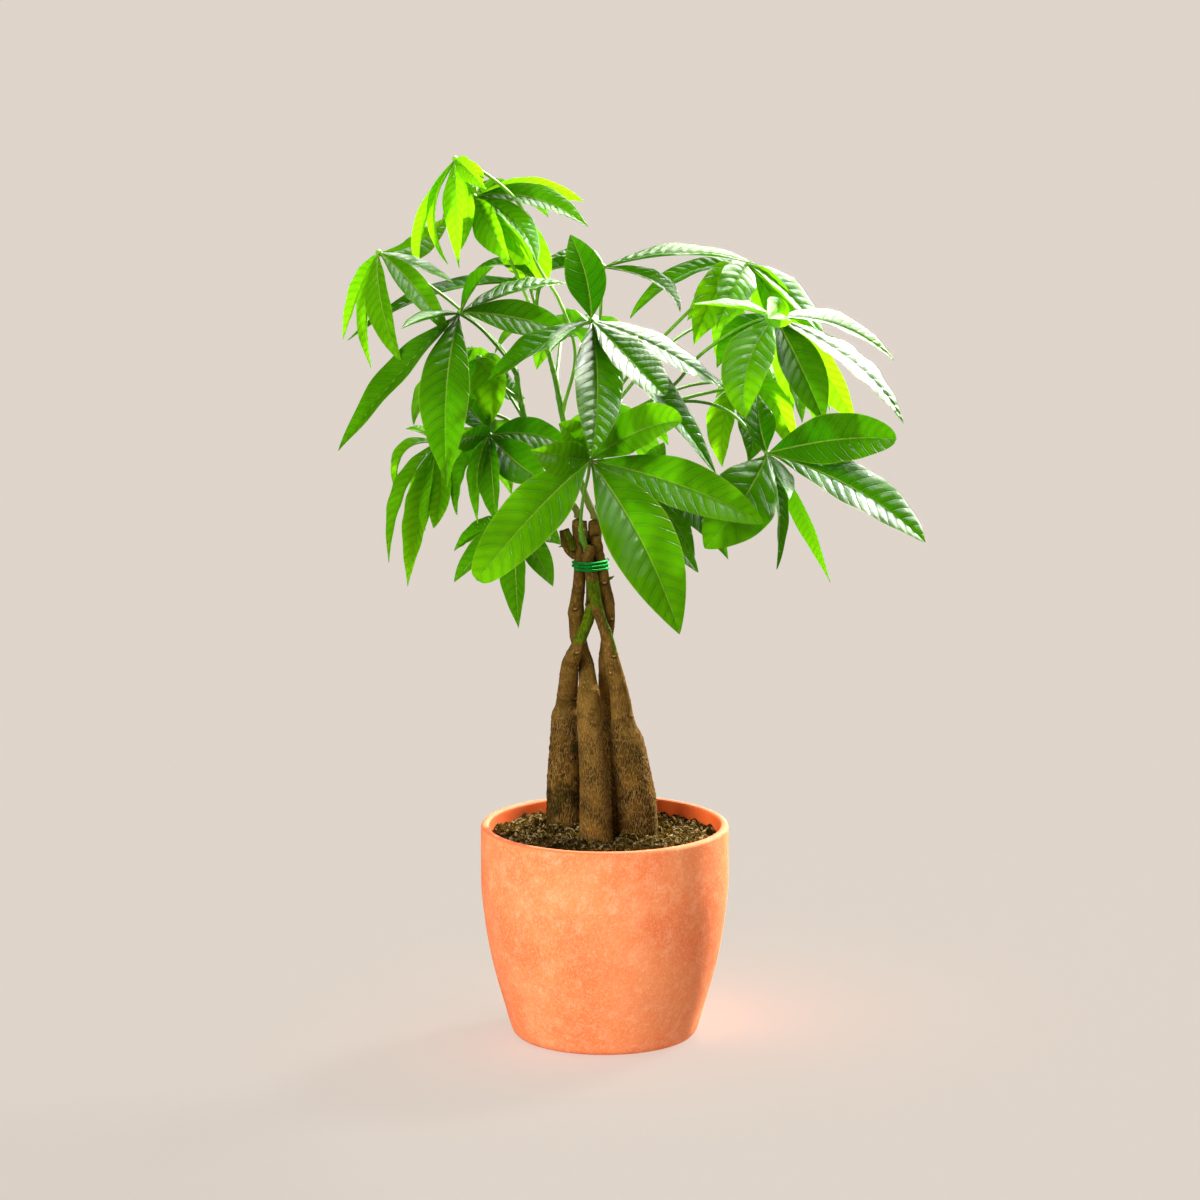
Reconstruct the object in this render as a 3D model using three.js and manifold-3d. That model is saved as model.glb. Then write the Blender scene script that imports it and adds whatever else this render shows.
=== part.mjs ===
// Potted money tree: four bound trunks in a terracotta-coloured pot, with their leafy stems.
// Millimetres, +Z up, the origin at the middle of the pot's underside, the front toward -Y.

import * as THREE from 'three';
import * as BufferGeometryUtils from 'three/addons/utils/BufferGeometryUtils.js';
import Module from 'manifold-3d';

const wasm = await Module();
wasm.setup();

// Pot
const POT_RADIUS = 85;
const POT_HEIGHT = 148;
const WALL = 5.6;
const RIM_ROUND = 2.4;
const RIM_INNER_ROUND = 2.0;
const FLOOR_THICKNESS = 8;
const POT_SEGMENTS = 36;
// Outside of the pot below its upright collar: radius and height.
const POT_FOOT = [
  [58, 0], [61.5, 1], [64, 4], [69.2, 21.6], [74.1, 38.7], [78.3, 56], [81.4, 73], [83.6, 90],
];
const COLLAR_FROM = 106;

// Soil
const SOIL_TOP = 138;
// The gap to the pot's wall, with room for the flats of the pot's sides, and the gap to its floor.
const SOIL_INSET = 0.8;
const SOIL_GAP = 0.3;
// Bumps of the soil: their height, and how many radians they turn for each millimetre along x and y.
const SOIL_BUMP = 1.5;
const BUMP_ALONG = [0.31, 0.13];
const BUMP_ACROSS = [-0.11, 0.27];
const SMALL_BUMP = [0.53, -0.41];
const SMALL_BUMP_SHARE = 0.6;
// The mound that the left and back trunks stand on: its height, middle and reach.
const SOIL_MOUND = 3.5;
const MOUND_PLACE = [-25, 20];
const MOUND_REACH = 47;
const SOIL_RINGS = [73, 64, 53, 41, 28, 14];
const SOIL_SEGMENTS = 30;

// Trunks
const TRUNK_SIDES = 10;
// How far a trunk's section departs from round, and how far that turns from one station to the next.
const TRUNK_WAVE = 0.035;
const WAVE_TURN = 0.7;
const HOLE_GAP = 0.35;
// Every station of a trunk: x, y, z of its middle, and its radius.
const TRUNKS = {
  trunk_left: {
    color: 0x6b5a2c,
    stations: [
      [-28, 30, 84, 5.5], [-28, 30, 104, 9.5], [-28.3, 30, 126, 12], [-28.5, 30, 146, 12.2],
      [-28.5, 29, 170, 11.6], [-27.8, 27, 198, 9.9], [-27.2, 26, 214, 9.4], [-26.8, 25.5, 220, 9.2],
      [-26.4, 25, 225, 7.6], [-25.2, 14, 240, 6.8], [-24, 4, 256, 6.2], [-22.9, 2, 261, 6.3],
      [-21.4, 0.5, 266, 5.6], [-16.6, -1, 277, 4.5], [-12.4, 0.5, 287, 4.2], [-9, 4, 299, 4.3],
      [-8.9, 5.4, 312, 4.0], [-9.5, 5.3, 327, 4.0], [-10.2, 8.5, 338, 4.2], [-10.6, 10, 342, 3.2],
    ],
  },
  trunk_front: {
    color: 0x75602f,
    stations: [
      [-5.4, -12, 84, 5], [-5.4, -12, 104, 8.7], [-5.6, -12, 126, 10.6], [-6, -12, 146, 10.9],
      [-7, -10, 172, 10.1], [-9.3, -6, 205, 9.1], [-10.1, -3, 220, 8.8], [-10.8, 0, 234, 7.9],
      [-11.5, 5.4, 246, 6.1], [-12.9, 10.8, 258, 5.1], [-18, 11.6, 274, 5.3], [-19.4, 9, 288, 5.1],
      [-19.6, 7, 295, 5.6], [-19.1, 6, 300, 4.9], [-17.7, 3, 312, 4.5], [-16.9, 0.6, 327, 4.2],
      [-17.6, 0.8, 342, 3.7], [-18, 1, 352, 4.3], [-18.3, 1, 358, 3.8], [-18.3, 1, 360, 3],
    ],
  },
  trunk_right: {
    color: 0x7a6334,
    stations: [
      [21, 13, 84, 6.5], [21, 13, 104, 11.5], [21, 13, 126, 14.4], [20.6, 12.5, 146, 15.6],
      [20, 12, 164, 15.7], [17.6, 11, 186, 13.6], [15.2, 10, 203, 11.8], [13.8, 9, 210, 10.6],
      [12.6, 8.5, 216, 8.4], [10.9, 6.5, 232, 6.8], [8.2, 3.6, 247, 6], [5, 0.6, 261, 5.4],
      [1.2, -4, 280, 4.4], [-2.8, -5.7, 292, 4.1], [-6, -6.4, 304, 4.2], [-7.4, -6, 313, 4.5],
      [-10, -4.5, 327, 4.2], [-12, -5.6, 336, 3.6], [-12.6, -6, 338, 2.7],
    ],
  },
  trunk_back: {
    color: 0x66552a,
    stations: [
      [2, 42, 84, 5], [2, 42, 104, 8.4], [2, 42, 126, 10], [2.2, 41.5, 146, 10.2], [2.2, 40, 170, 9.6],
      [1.6, 36, 203, 8.3], [1.2, 32, 218, 7.2], [0.9, 27, 232, 5.6], [0.2, 19, 250, 4.3],
      [0.6, 15, 258, 4.9], [1.6, 9, 276, 4.1], [3, 4, 290, 4.1], [2, 1.6, 304, 4.5],
      [-0.6, 1, 314, 4.8], [-2.3, 0.3, 327, 4], [-5.6, 1.4, 341, 3.8], [-6.8, 2.6, 352, 4.4],
      [-7.4, 3, 357, 3.7], [-7.4, 3, 359, 2.8],
    ],
  },
};

// Wire tie: turns of wire round the four trunks, no higher than TIE_TO
const TIE_FROM = 324.4;
const TIE_TO = 330;
const TIE_TURNS = 2.4;
const TIE_RADIUS = 0.9;
const TIE_GAP = 0.5;
const TIE_STEPS = 16;
const TIE_SIDES = 5;
const TIE_START = -0.4;
const TIE_TAIL = [3, 0.5, 2];

// Leaves
const BLADE_THICKNESS = 1.5;
const BLADE_FOLD = 0.16;
const LEAF_STALK_RADIUS = 1.35;
const STALK_SIDES = 4;
const STALK_STEP = 28;
const STEM_SIDES = 5;
const HUB_RADIUS = 2.3;
// How wide a leaflet is, as a share of its full width, at each share of its length.
const BLADE_STATIONS = [[0, 0.035], [0.07, 0.1], [0.24, 0.66], [0.48, 0.98], [0.76, 0.78]];
// The way that the leaves in front face, and how far their turned blades lean away from the trunks.
const FRONT = [0, -0.98, 0.2];
const SKYWARD_LEAN = 0.35;
// Any direction that no stem or stalk runs along, to set their sections by.
const BESIDE_STALKS = new THREE.Vector3(0.1, 1, 0.05);

// Leaves at the back of the crown, spread round a hub like the fingers of a hand: shares of their reach.
const SPREAD_MIDDLE = 0.5;
const SPREAD_RISE = 0.1;
const SPREAD_TIP = 0.9;
const SPREAD_FALL = 0.08;
const SPREAD_DROOP = 0.2;
// How much shorter some leaflets are than others at random, and how much shorter those on top are.
const UNEVEN_LENGTH = 0.14;
const TOP_SHORTER = 0.15;
const UNEVEN_WIDTH = 0.1;
const UNEVEN_TURN = 15;
const UNEVEN_STEP = 2.4;
const SPREAD_STALK_RISE = 14;

// Every stem is a list of x, y, z and radius. Every leaf is a hub, its stalk's points from the stem to
// the hub, and its leaflets: the middle and tip of the leaflet, its width, and how far it is turned about
// its own length from facing the way that the leaf faces, in degrees.
const STEMS = {
  leafy_stem_left: {
    stem: [
      [-18.4, 1, 360.4, 2.6], [-18.4, 1, 363.5, 2.5], [-24, 1.5, 373, 2.3], [-37, 3, 394, 2.1],
      [-53, 5, 425, 2], [-57, 5, 441, 1.9], [-60, 5, 461, 1.7],
    ],
    leaves: {
      outer_left: {
        hub: [-151, -10, 542],
        stalk: [[-60, 5, 459], [-67, 6, 472], [-97, 8, 501], [-118, 5, 518]],
        leaflets: [
          [[-165, 10, 515], [-177, 15, 480], 20, 60],
          [[-159, -15, 504], [-156, -25, 466], 20, 65],
          [[-148, -40, 511], [-134, -55, 473], 24, 45],
          [[-126, -35, 523], [-102, -55, 491], 17, 5],
          [[-127, -14, 534], [-101, -20, 523], 18, 65],
          [[-128, 28, 543], [-105, 48, 561], 22, -45],
        ],
      },
      upper_front: {
        hub: [-96, -45, 506],
        stalk: [[-60, 4, 459], [-66, -4, 470], [-82, -24, 492]],
        leaflets: [
          [[-115, -70, 506], [-133, -95, 502], 22, 70],
          [[-85, -60, 526], [-73, -65, 539], 20, 60],
          [[-57, -28, 519], [-24, -20, 522], 24, 65],
          [[-58, -40, 502], [-18, -28, 488], 23, 5],
          [[-136, -60, 467], [-177, -55, 415], 31, 55],
          [[-104, -70, 457], [-104, -70, 392], 34, 10],
        ],
      },
      inner_left: {
        hub: [-85, 5, 469],
        stalk: [[-57, 5, 440], [-68, 4, 449]],
        leaflets: [
          [[-77, -5, 452], [-78, -10, 424], 26, 20],
          [[-80, 25, 451], [-72, 30, 431], 18, 50],
          [[-72, 50, 445], [-55, 75, 431], 22, 40],
          [[-92, 40, 446], [-98, 60, 418], 22, 40],
        ],
      },
      middle_left: {
        hub: [-77, -20, 420],
        stalk: [[-44, 4, 407], [-60, -9, 417]],
        leaflets: [
          [[-50, -20, 421], [-23, -20, 412], 22, 15],
          [[-58, -40, 405], [-37, -50, 392], 28, 5],
          [[-75, -50, 395], [-72, -60, 366], 22, 45],
          [[-85, -35, 399], [-85, -40, 363], 20, 55],
          [[-95, -10, 395], [-100, -5, 363], 20, 60],
          [[-87, 0, 431], [-95, 20, 436], 20, 5],
          [[-88, -50, 424], [-101, -75, 422], 20, -50],
        ],
      },
      lower_left: {
        hub: [-113, 10, 411],
        stalk: [[-49, 5, 417], [-78, 12, 430], [-102, 12, 422]],
        leaflets: [
          [[-137, 15, 403], [-141, 15, 372], 18, 65],
          [[-136, -8, 380], [-146, -15, 332], 22, 60],
          [[-126, 30, 375], [-138, 40, 346], 20, 55],
          [[-125, 10, 363], [-134, 0, 313], 26, 45],
          [[-119, -15, 375], [-121, -25, 356], 16, 65],
          [[-111, 0, 380], [-116, -5, 354], 20, 25],
          [[-126, 30, 415], [-136, 50, 414], 14, 60],
        ],
      },
      low_left: {
        hub: [-61, -10, 359],
        stalk: [[-27, 2, 376], [-44, -4, 370]],
        leaflets: [
          [[-85, 10, 349], [-103, 20, 334], 20, 55],
          [[-83, -5, 339], [-102, -10, 318], 20, 40],
          [[-60, -25, 329], [-58, -35, 291], 22, 35],
          [[-47, -10, 339], [-35, -15, 316], 18, 10],
          [[-44, -20, 356], [-29, -30, 347], 18, 10],
        ],
      },
    },
    spread: [
      {
        hub: [-98, 94, 447], from: [-53, 5, 425],
        count: 6, reach: 58, width: 23, facing: [-0.3, 0.55, 0.8],
      },
      {
        hub: [-80, 94, 396], from: [-37, 3, 394],
        count: 6, reach: 60, width: 25, facing: [-0.2, 0.6, 0.8],
      },
    ],
  },
  leafy_stem_top: {
    stem: [
      [-7.4, 3, 359.4, 2.5], [-7.4, 3, 362, 2.4], [-11.5, 4, 371, 2.3], [-22, 8, 402, 2.1],
      [-29, 10, 430, 2], [-33, 14, 451, 1.8], [-38, 18, 471, 1.6],
    ],
    leaves: {
      top_young: {
        hub: [-100, 5, 603],
        stalk: [
          [-29, 10, 430], [-20, 17, 470], [-31, 22, 506], [-46, 22, 531], [-56, 18, 569], [-82, 10, 594],
        ],
        leaflets: [
          [[-91, -22, 598], [-78, -50, 588], 14, -30],
          [[-89, 5, 596], [-82, 15, 586], 13, -30],
          [[-99, -18, 576], [-97, -25, 533], 20, 45],
          [[-92, 10, 572], [-97, 15, 541], 18, 45],
          [[-114, 0, 569], [-105, -3, 533], 18, 70],
          [[-121, 7, 560], [-124, 6, 529], 18, 60],
        ],
      },
      top_back: {
        hub: [-88, 30, 575],
        stalk: [[-38, 18, 470], [-49, 25, 498], [-65, 30, 534], [-79, 30, 561]],
        leaflets: [
          [[-50, 35, 583], [-14, 30, 572], 21, -50],
          [[-47, 15, 575], [-11, 0, 558], 20, 35],
          [[-60, 8, 561], [-45, -12, 535], 21, 45],
          [[-73, 25, 559], [-50, 12, 533], 20, -50],
          [[-78, 5, 559], [-63, -30, 539], 24, -35],
          [[-55, 36, 541], [-52, 50, 513], 34, -20],
        ],
      },
      long_left: {
        hub: [-44, 25, 517],
        stalk: [[-46, 24, 492], [-46, 25, 505]],
        leaflets: [
          [[-112, 34, 510], [-175, 32, 477], 28, 70],
          [[-66, 40, 528], [-89, 44, 523], 14, 60],
        ],
      },
    },
    spread: [
      {
        hub: [-78, 84, 566], from: [-38, 18, 471],
        count: 6, reach: 56, width: 22, facing: [-0.2, 0.6, 0.8],
      },
      {
        hub: [-26, 104, 474], from: [-33, 14, 451],
        count: 6, reach: 66, width: 26, facing: [0, 0.5, 0.9],
      },
    ],
  },
  leafy_stem_right: {
    stem: [
      [-10.6, 10, 342.4, 2.6], [-10.6, 10, 345, 2.5], [-7, 11, 354, 2.4], [-4, 11, 370, 2.3],
      [-3, 10, 400, 2.2], [-3, 10, 426, 2],
    ],
    leaves: {
      back_high: {
        hub: [-1, 45, 526],
        stalk: [[-3, 10, 424], [-3, 24, 455], [-3, 38, 491]],
        leaflets: [
          [[53, 45, 535], [104, 40, 528], 28, 70],
          [[34, 28, 518], [51, 15, 499], 20, 60],
          [[-31, 58, 524], [-69, 62, 512], 20, 60],
          [[-18, 62, 531], [-38, 66, 530], 20, 60],
        ],
      },
      centre: {
        hub: [-9, -45, 501],
        stalk: [[-3, 10, 424], [-5, -14, 462], [-8, -34, 490]],
        leaflets: [
          [[-13, -50, 531], [-23, -46, 558], 27, 5],
          [[-5, -85, 462], [-9, -115, 421], 33, -15],
          [[18, -75, 477], [39, -88, 457], 31, 35],
          [[33, -55, 456], [74, -45, 398], 26, 45],
          [[35, -38, 482], [76, -45, 457], 27, 50],
          [[42, -20, 471], [88, -5, 447], 22, 60],
          [[-47, -60, 483], [-80, -55, 459], 30, 58],
          [[-23, -85, 498], [-36, -115, 490], 22, 60],
        ],
      },
      back_right: {
        hub: [97, 40, 528],
        stalk: [[-3, 10, 424], [12, 16, 450], [41, 25, 482], [88, 38, 524]],
        leaflets: [
          [[75, 15, 512], [60, 8, 477], 34, -30],
          [[53, 45, 520], [17, 40, 491], 25, 60],
          [[88, 15, 517], [75, 0, 489], 26, -10],
          [[120, 55, 495], [128, 60, 411], 34, -40],
          [[124, 40, 508], [150, 30, 477], 25, 55],
          [[138, 40, 474], [171, 35, 421], 34, -40],
        ],
      },
      front_right: {
        hub: [113, -30, 501],
        stalk: [[-3, 10, 422], [43, 8, 447], [65, -10, 474], [96, -24, 496]],
        leaflets: [
          [[113, -62, 509], [106, -105, 510], 22, 0],
          [[90, -35, 508], [58, -45, 512], 22, 75],
          [[90, -20, 488], [75, -10, 464], 26, 50],
          [[95, -60, 474], [92, -82, 441], 34, -20],
          [[130, -45, 469], [145, -52, 435], 29, 12],
          [[166, -42, 471], [199, -40, 431], 32, 60],
          [[156, -8, 492], [195, 0, 468], 24, 60],
          [[124, -15, 467], [133, -5, 426], 26, 50],
        ],
      },
      lower_right: {
        hub: [108, -45, 412],
        stalk: [[-3, 10, 418], [28, 5, 434], [59, -5, 441], [84, -24, 436]],
        leaflets: [
          [[154, -62, 423], [192, -75, 426], 34, 10],
          [[167, -65, 390], [212, -75, 357], 34, 35],
          [[91, -68, 385], [66, -75, 353], 46, -10],
          [[103, -42, 431], [102, -30, 450], 21, 15],
          [[116, -45, 377], [115, -45, 333], 22, 65],
          [[132, -30, 369], [152, -25, 320], 16, -50],
          [[115, -90, 405], [120, -120, 393], 20, 55],
        ],
      },
      inner_right: {
        hub: [89, 30, 446],
        stalk: [[-3, 10, 416], [45, 22, 436]],
        leaflets: [
          [[81, 25, 424], [80, 20, 392], 26, -45],
          [[100, 20, 421], [97, 15, 396], 24, 20],
          [[112, 40, 438], [132, 50, 395], 30, -40],
          [[90, 55, 440], [86, 82, 420], 26, 30],
        ],
      },
      low_right: {
        hub: [24, -20, 385],
        stalk: [[-4, 11, 372], [6, 0, 381]],
        leaflets: [
          [[43, -15, 365], [61, -10, 336], 22, 10],
          [[57, -25, 374], [83, -30, 337], 24, 10],
          [[43, 10, 350], [64, 20, 319], 18, 25],
          [[34, -10, 400], [40, -5, 413], 18, 40],
        ],
      },
    },
    spread: [
      {
        hub: [90, 104, 490], from: [-3, 10, 424],
        count: 6, reach: 62, width: 25, facing: [0.2, 0.5, 0.85],
      },
      {
        hub: [118, 98, 438], from: [-3, 10, 420],
        count: 6, reach: 66, width: 25, facing: [0.4, 0.5, 0.8],
      },
      {
        hub: [8, 108, 404], from: [-3, 10, 400],
        count: 6, reach: 66, width: 26, facing: [0, 0.6, 0.8],
      },
      {
        hub: [52, 84, 368], from: [-4, 11, 376],
        count: 5, reach: 62, width: 23, facing: [0.3, 0.6, 0.75],
      },
    ],
  },
  leafy_stem_front: {
    stem: [[-12.6, -6, 338.4, 2.3], [-12.6, -6, 341, 2.2], [-15, -9, 347, 2.1], [-16, -14, 355, 2]],
    leaves: {
      front: {
        hub: [-10, -75, 412],
        stalk: [[-16, -12, 353], [-16, -24, 366], [-14, -42, 384], [-11, -60, 400]],
        leaflets: [
          [[51, -90, 397], [104, -100, 374], 33, 8],
          [[24, -105, 363], [49, -110, 302], 45, 5],
          [[-46, -95, 380], [-84, -105, 337], 38, 5],
          [[23, -97, 435], [50, -120, 445], 31, 25],
          [[-29, -110, 421], [-48, -135, 428], 26, -20],
          [[-20, -100, 431], [-30, -125, 444], 22, 10],
        ],
      },
    },
    spread: [],
  },
};

const POT_ROUGHNESS = 0.85;
const SOIL_ROUGHNESS = 1;
const BARK_ROUGHNESS = 0.9;
const TIE_ROUGHNESS = 0.35;
const TIE_METALNESS = 0.6;
const LEAF_ROUGHNESS = 0.35;
const POT_COLOR = 0xf29a62;
const SOIL_COLOR = 0x3a2c20;
const TIE_COLOR = 0x1f7a3c;
const LEAF_COLORS = [0x3f8f1c, 0x6fb526, 0x4f9d1f, 0x3a8518];

// The corner between the inside wall and the floor: how far it reaches inward and up. Then the heights at
// which the inside wall follows the outside.
const INNER_CORNER = [6, 8];
const INNER_HEIGHTS = [90, 56, 30, FLOOR_THICKNESS + INNER_CORNER[1]];
const FLOOR_RADIUS = innerRadius(FLOOR_THICKNESS + INNER_CORNER[1]) - INNER_CORNER[0];

const group = new THREE.Group();

function vector(point) {
  return new THREE.Vector3(point[0], point[1], point[2]);
}

function addMesh(name, geometry, color, roughness, metalness = 0) {
  const material = new THREE.MeshStandardMaterial({ color, roughness, metalness });
  const mesh = new THREE.Mesh(geometry, material);
  mesh.name = name;
  group.add(mesh);
  return mesh;
}

// A geometry from rings of equally many points, closed by a fan at each end.
function loft(rings, startPoint, endPoint) {
  const positions = [];
  const indices = [];
  const sides = rings[0].length;
  for (const ring of rings) {
    for (const p of ring) {
      positions.push(p.x, p.y, p.z);
    }
  }
  const start = positions.length / 3;
  positions.push(startPoint.x, startPoint.y, startPoint.z);
  const end = start + 1;
  positions.push(endPoint.x, endPoint.y, endPoint.z);
  for (let i = 0; i < rings.length - 1; i += 1) {
    for (let j = 0; j < sides; j += 1) {
      const a = i * sides + j;
      const b = i * sides + ((j + 1) % sides);
      indices.push(a, b, b + sides, a, b + sides, a + sides);
    }
  }
  const last = (rings.length - 1) * sides;
  for (let j = 0; j < sides; j += 1) {
    const next = (j + 1) % sides;
    indices.push(start, next, j);
    indices.push(end, last + j, last + next);
  }
  const geometry = new THREE.BufferGeometry();
  geometry.setAttribute('position', new THREE.Float32BufferAttribute(positions, 3));
  geometry.setIndex(indices);
  return geometry;
}

function solidOf(geometry) {
  const bare = geometry.clone();
  bare.deleteAttribute('normal');
  bare.deleteAttribute('uv');
  const merged = BufferGeometryUtils.mergeVertices(bare);
  const mesh = new wasm.Mesh({
    numProp: 3,
    vertProperties: new Float32Array(merged.attributes.position.array),
    triVerts: new Uint32Array(merged.index.array),
  });
  return new wasm.Manifold(mesh);
}

function geometryOf(solid) {
  const mesh = solid.getMesh();
  const geometry = new THREE.BufferGeometry();
  geometry.setAttribute('position', new THREE.BufferAttribute(new Float32Array(mesh.vertProperties), 3));
  geometry.setIndex(new THREE.BufferAttribute(new Uint32Array(mesh.triVerts), 1));
  return geometry;
}

// Pot

function outerRadius(z) {
  const outline = [...POT_FOOT, [POT_RADIUS, COLLAR_FROM], [POT_RADIUS, POT_HEIGHT]];
  for (let i = 1; i < outline.length; i += 1) {
    const [r0, z0] = outline[i - 1];
    const [r1, z1] = outline[i];
    if (z <= z1) {
      return r0 + ((r1 - r0) * (z - z0)) / (z1 - z0);
    }
  }
  return POT_RADIUS;
}

function innerRadius(z) {
  return outerRadius(z) - WALL;
}

// Three points of a quarter circle at the rim, from an angle on.
function quarterRound(middleRadius, size, from) {
  return [0, 1, 2].map((k) => {
    const angle = from + (k * Math.PI) / 4;
    const r = middleRadius + size * Math.cos(angle);
    return new THREE.Vector2(r, POT_HEIGHT - size + size * Math.sin(angle));
  });
}

function makePot() {
  const points = [new THREE.Vector2(0, 0)];
  for (const [r, z] of POT_FOOT) {
    points.push(new THREE.Vector2(r, z));
  }
  points.push(new THREE.Vector2(POT_RADIUS, COLLAR_FROM));
  points.push(...quarterRound(POT_RADIUS - RIM_ROUND, RIM_ROUND, 0));
  points.push(...quarterRound(POT_RADIUS - WALL + RIM_INNER_ROUND, RIM_INNER_ROUND, Math.PI / 2));
  for (const z of INNER_HEIGHTS) {
    points.push(new THREE.Vector2(innerRadius(z), z));
  }
  points.push(new THREE.Vector2(FLOOR_RADIUS, FLOOR_THICKNESS));
  points.push(new THREE.Vector2(0, FLOOR_THICKNESS));
  const lathe = new THREE.LatheGeometry(points, POT_SEGMENTS);
  lathe.rotateX(Math.PI / 2);
  return lathe;
}

// Soil

function soilHeight(x, y) {
  const turns = ([alongX, alongY]) => x * alongX + y * alongY;
  const bumps = Math.sin(turns(BUMP_ALONG)) * Math.cos(turns(BUMP_ACROSS))
    + SMALL_BUMP_SHARE * Math.sin(turns(SMALL_BUMP));
  const away = Math.hypot(x - MOUND_PLACE[0], y - MOUND_PLACE[1]) / MOUND_REACH;
  return SOIL_TOP + SOIL_BUMP * bumps + SOIL_MOUND * Math.exp(-away * away);
}

function soilSolid() {
  const rings = [];
  const bottom = FLOOR_THICKNESS + SOIL_GAP;
  const sideLevels = INNER_HEIGHTS.map((z) => [innerRadius(z) - SOIL_INSET, z]).reverse();
  sideLevels.unshift([FLOOR_RADIUS - SOIL_INSET, bottom]);
  const ringOf = (radius, heightOf) => {
    const ring = [];
    for (let j = 0; j < SOIL_SEGMENTS; j += 1) {
      const angle = (2 * Math.PI * j) / SOIL_SEGMENTS;
      const x = radius * Math.cos(angle);
      const y = radius * Math.sin(angle);
      ring.push(new THREE.Vector3(x, y, heightOf(x, y)));
    }
    return ring;
  };
  for (const [radius, z] of sideLevels) {
    rings.push(ringOf(radius, () => z));
  }
  const edge = innerRadius(SOIL_TOP) - SOIL_INSET;
  rings.push(ringOf(edge, soilHeight));
  for (const radius of SOIL_RINGS) {
    rings.push(ringOf(radius, soilHeight));
  }
  const start = new THREE.Vector3(0, 0, bottom);
  const end = new THREE.Vector3(0, 0, soilHeight(0, 0));
  return solidOf(loft(rings, start, end));
}

// Trunks

function trunkGeometry(stations, grow) {
  const rings = stations.map(([x, y, z, radius], i) => {
    const ring = [];
    for (let j = 0; j < TRUNK_SIDES; j += 1) {
      const angle = (2 * Math.PI * j) / TRUNK_SIDES;
      const wave = 1 + TRUNK_WAVE * Math.sin(2 * angle + i * WAVE_TURN + x);
      const r = radius * wave + grow;
      ring.push(new THREE.Vector3(x + r * Math.cos(angle), y + r * Math.sin(angle), z));
    }
    return ring;
  });
  const [bx, by, bz] = stations[0];
  const [tx, ty, tz] = stations[stations.length - 1];
  return loft(rings, new THREE.Vector3(bx, by, bz - grow), new THREE.Vector3(tx, ty, tz + grow));
}

function trunkAt(name, z) {
  const { stations } = TRUNKS[name];
  for (let i = 1; i < stations.length; i += 1) {
    if (z <= stations[i][2]) {
      const share = (z - stations[i - 1][2]) / (stations[i][2] - stations[i - 1][2]);
      return stations[i].map((value, k) => stations[i - 1][k] + (value - stations[i - 1][k]) * share);
    }
  }
  return stations[stations.length - 1];
}

// Tubes and wires

function frameOf(tangent, reference) {
  const side = new THREE.Vector3().crossVectors(reference, tangent).normalize();
  const up = new THREE.Vector3().crossVectors(tangent, side).normalize();
  return [side, up];
}

function tube(points, radii, sides, reference) {
  const rings = points.map((p, i) => {
    const before = points[Math.max(i - 1, 0)];
    const after = points[Math.min(i + 1, points.length - 1)];
    const tangent = after.clone().sub(before).normalize();
    const [side, up] = frameOf(tangent, reference);
    const ring = [];
    for (let j = 0; j < sides; j += 1) {
      const angle = (2 * Math.PI * j) / sides;
      ring.push(p.clone()
        .addScaledVector(side, radii[i] * Math.cos(angle))
        .addScaledVector(up, radii[i] * Math.sin(angle)));
    }
    return ring;
  });
  return loft(rings, points[0], points[points.length - 1]);
}

// The point of the wire that lies against the trunks in the direction of an angle.
function tiePoint(angle, z) {
  const direction = new THREE.Vector3(Math.cos(angle), Math.sin(angle), 0);
  let best = null;
  let furthest = -Infinity;
  for (const name of Object.keys(TRUNKS)) {
    const [x, y, , radius] = trunkAt(name, z);
    const reach = x * direction.x + y * direction.y + radius;
    if (reach > furthest) {
      furthest = reach;
      const out = radius * (1 + TRUNK_WAVE) + TIE_GAP + TIE_RADIUS;
      best = new THREE.Vector3(x + out * direction.x, y + out * direction.y, z);
    }
  }
  return best;
}

function makeTie() {
  const count = Math.round(TIE_TURNS * TIE_STEPS);
  const points = [];
  for (let i = 0; i <= count; i += 1) {
    const angle = 2 * Math.PI * (TIE_START + i / TIE_STEPS);
    const z = TIE_FROM + ((TIE_TO - TIE_FROM) * i) / count;
    points.push(tiePoint(angle, z));
  }
  points.push(points[count].clone().add(vector(TIE_TAIL)));
  return tube(points, points.map(() => TIE_RADIUS), TIE_SIDES, new THREE.Vector3(0, 0, 1));
}

// Leaves

// The point of a leaflet's rib at a share of its length: a curve from the hub through its middle.
function ribPoint(hub, middle, tip, share) {
  const control = middle.clone().multiplyScalar(2).addScaledVector(hub, -0.5).addScaledVector(tip, -0.5);
  const rest = 1 - share;
  return hub.clone().multiplyScalar(rest * rest)
    .addScaledVector(control, 2 * share * rest)
    .addScaledVector(tip, share * share);
}

function ribTangent(hub, middle, tip, share) {
  const control = middle.clone().multiplyScalar(2).addScaledVector(hub, -0.5).addScaledVector(tip, -0.5);
  return control.clone().sub(hub).multiplyScalar(2 * (1 - share))
    .addScaledVector(tip.clone().sub(control), 2 * share)
    .normalize();
}

// A leaflet's turn about its rib in radians, signed so that its upper side turns from the way that the leaf
// faces toward the sky and away from the trunks.
function signedTurn(tangent, facing, turn, away) {
  const skyward = new THREE.Vector3(away * SKYWARD_LEAN, 0, 1);
  const sign = new THREE.Vector3().crossVectors(tangent, facing).dot(skyward) < 0 ? -1 : 1;
  return sign * THREE.MathUtils.degToRad(turn);
}

// The direction of a leaflet's upper side where its rib has a tangent.
function upperSide(tangent, facing, radians) {
  const toward = facing.clone().addScaledVector(tangent, -facing.dot(tangent)).normalize();
  const across = new THREE.Vector3().crossVectors(tangent, toward);
  return toward.multiplyScalar(Math.cos(radians)).addScaledVector(across, Math.sin(radians));
}

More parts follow.
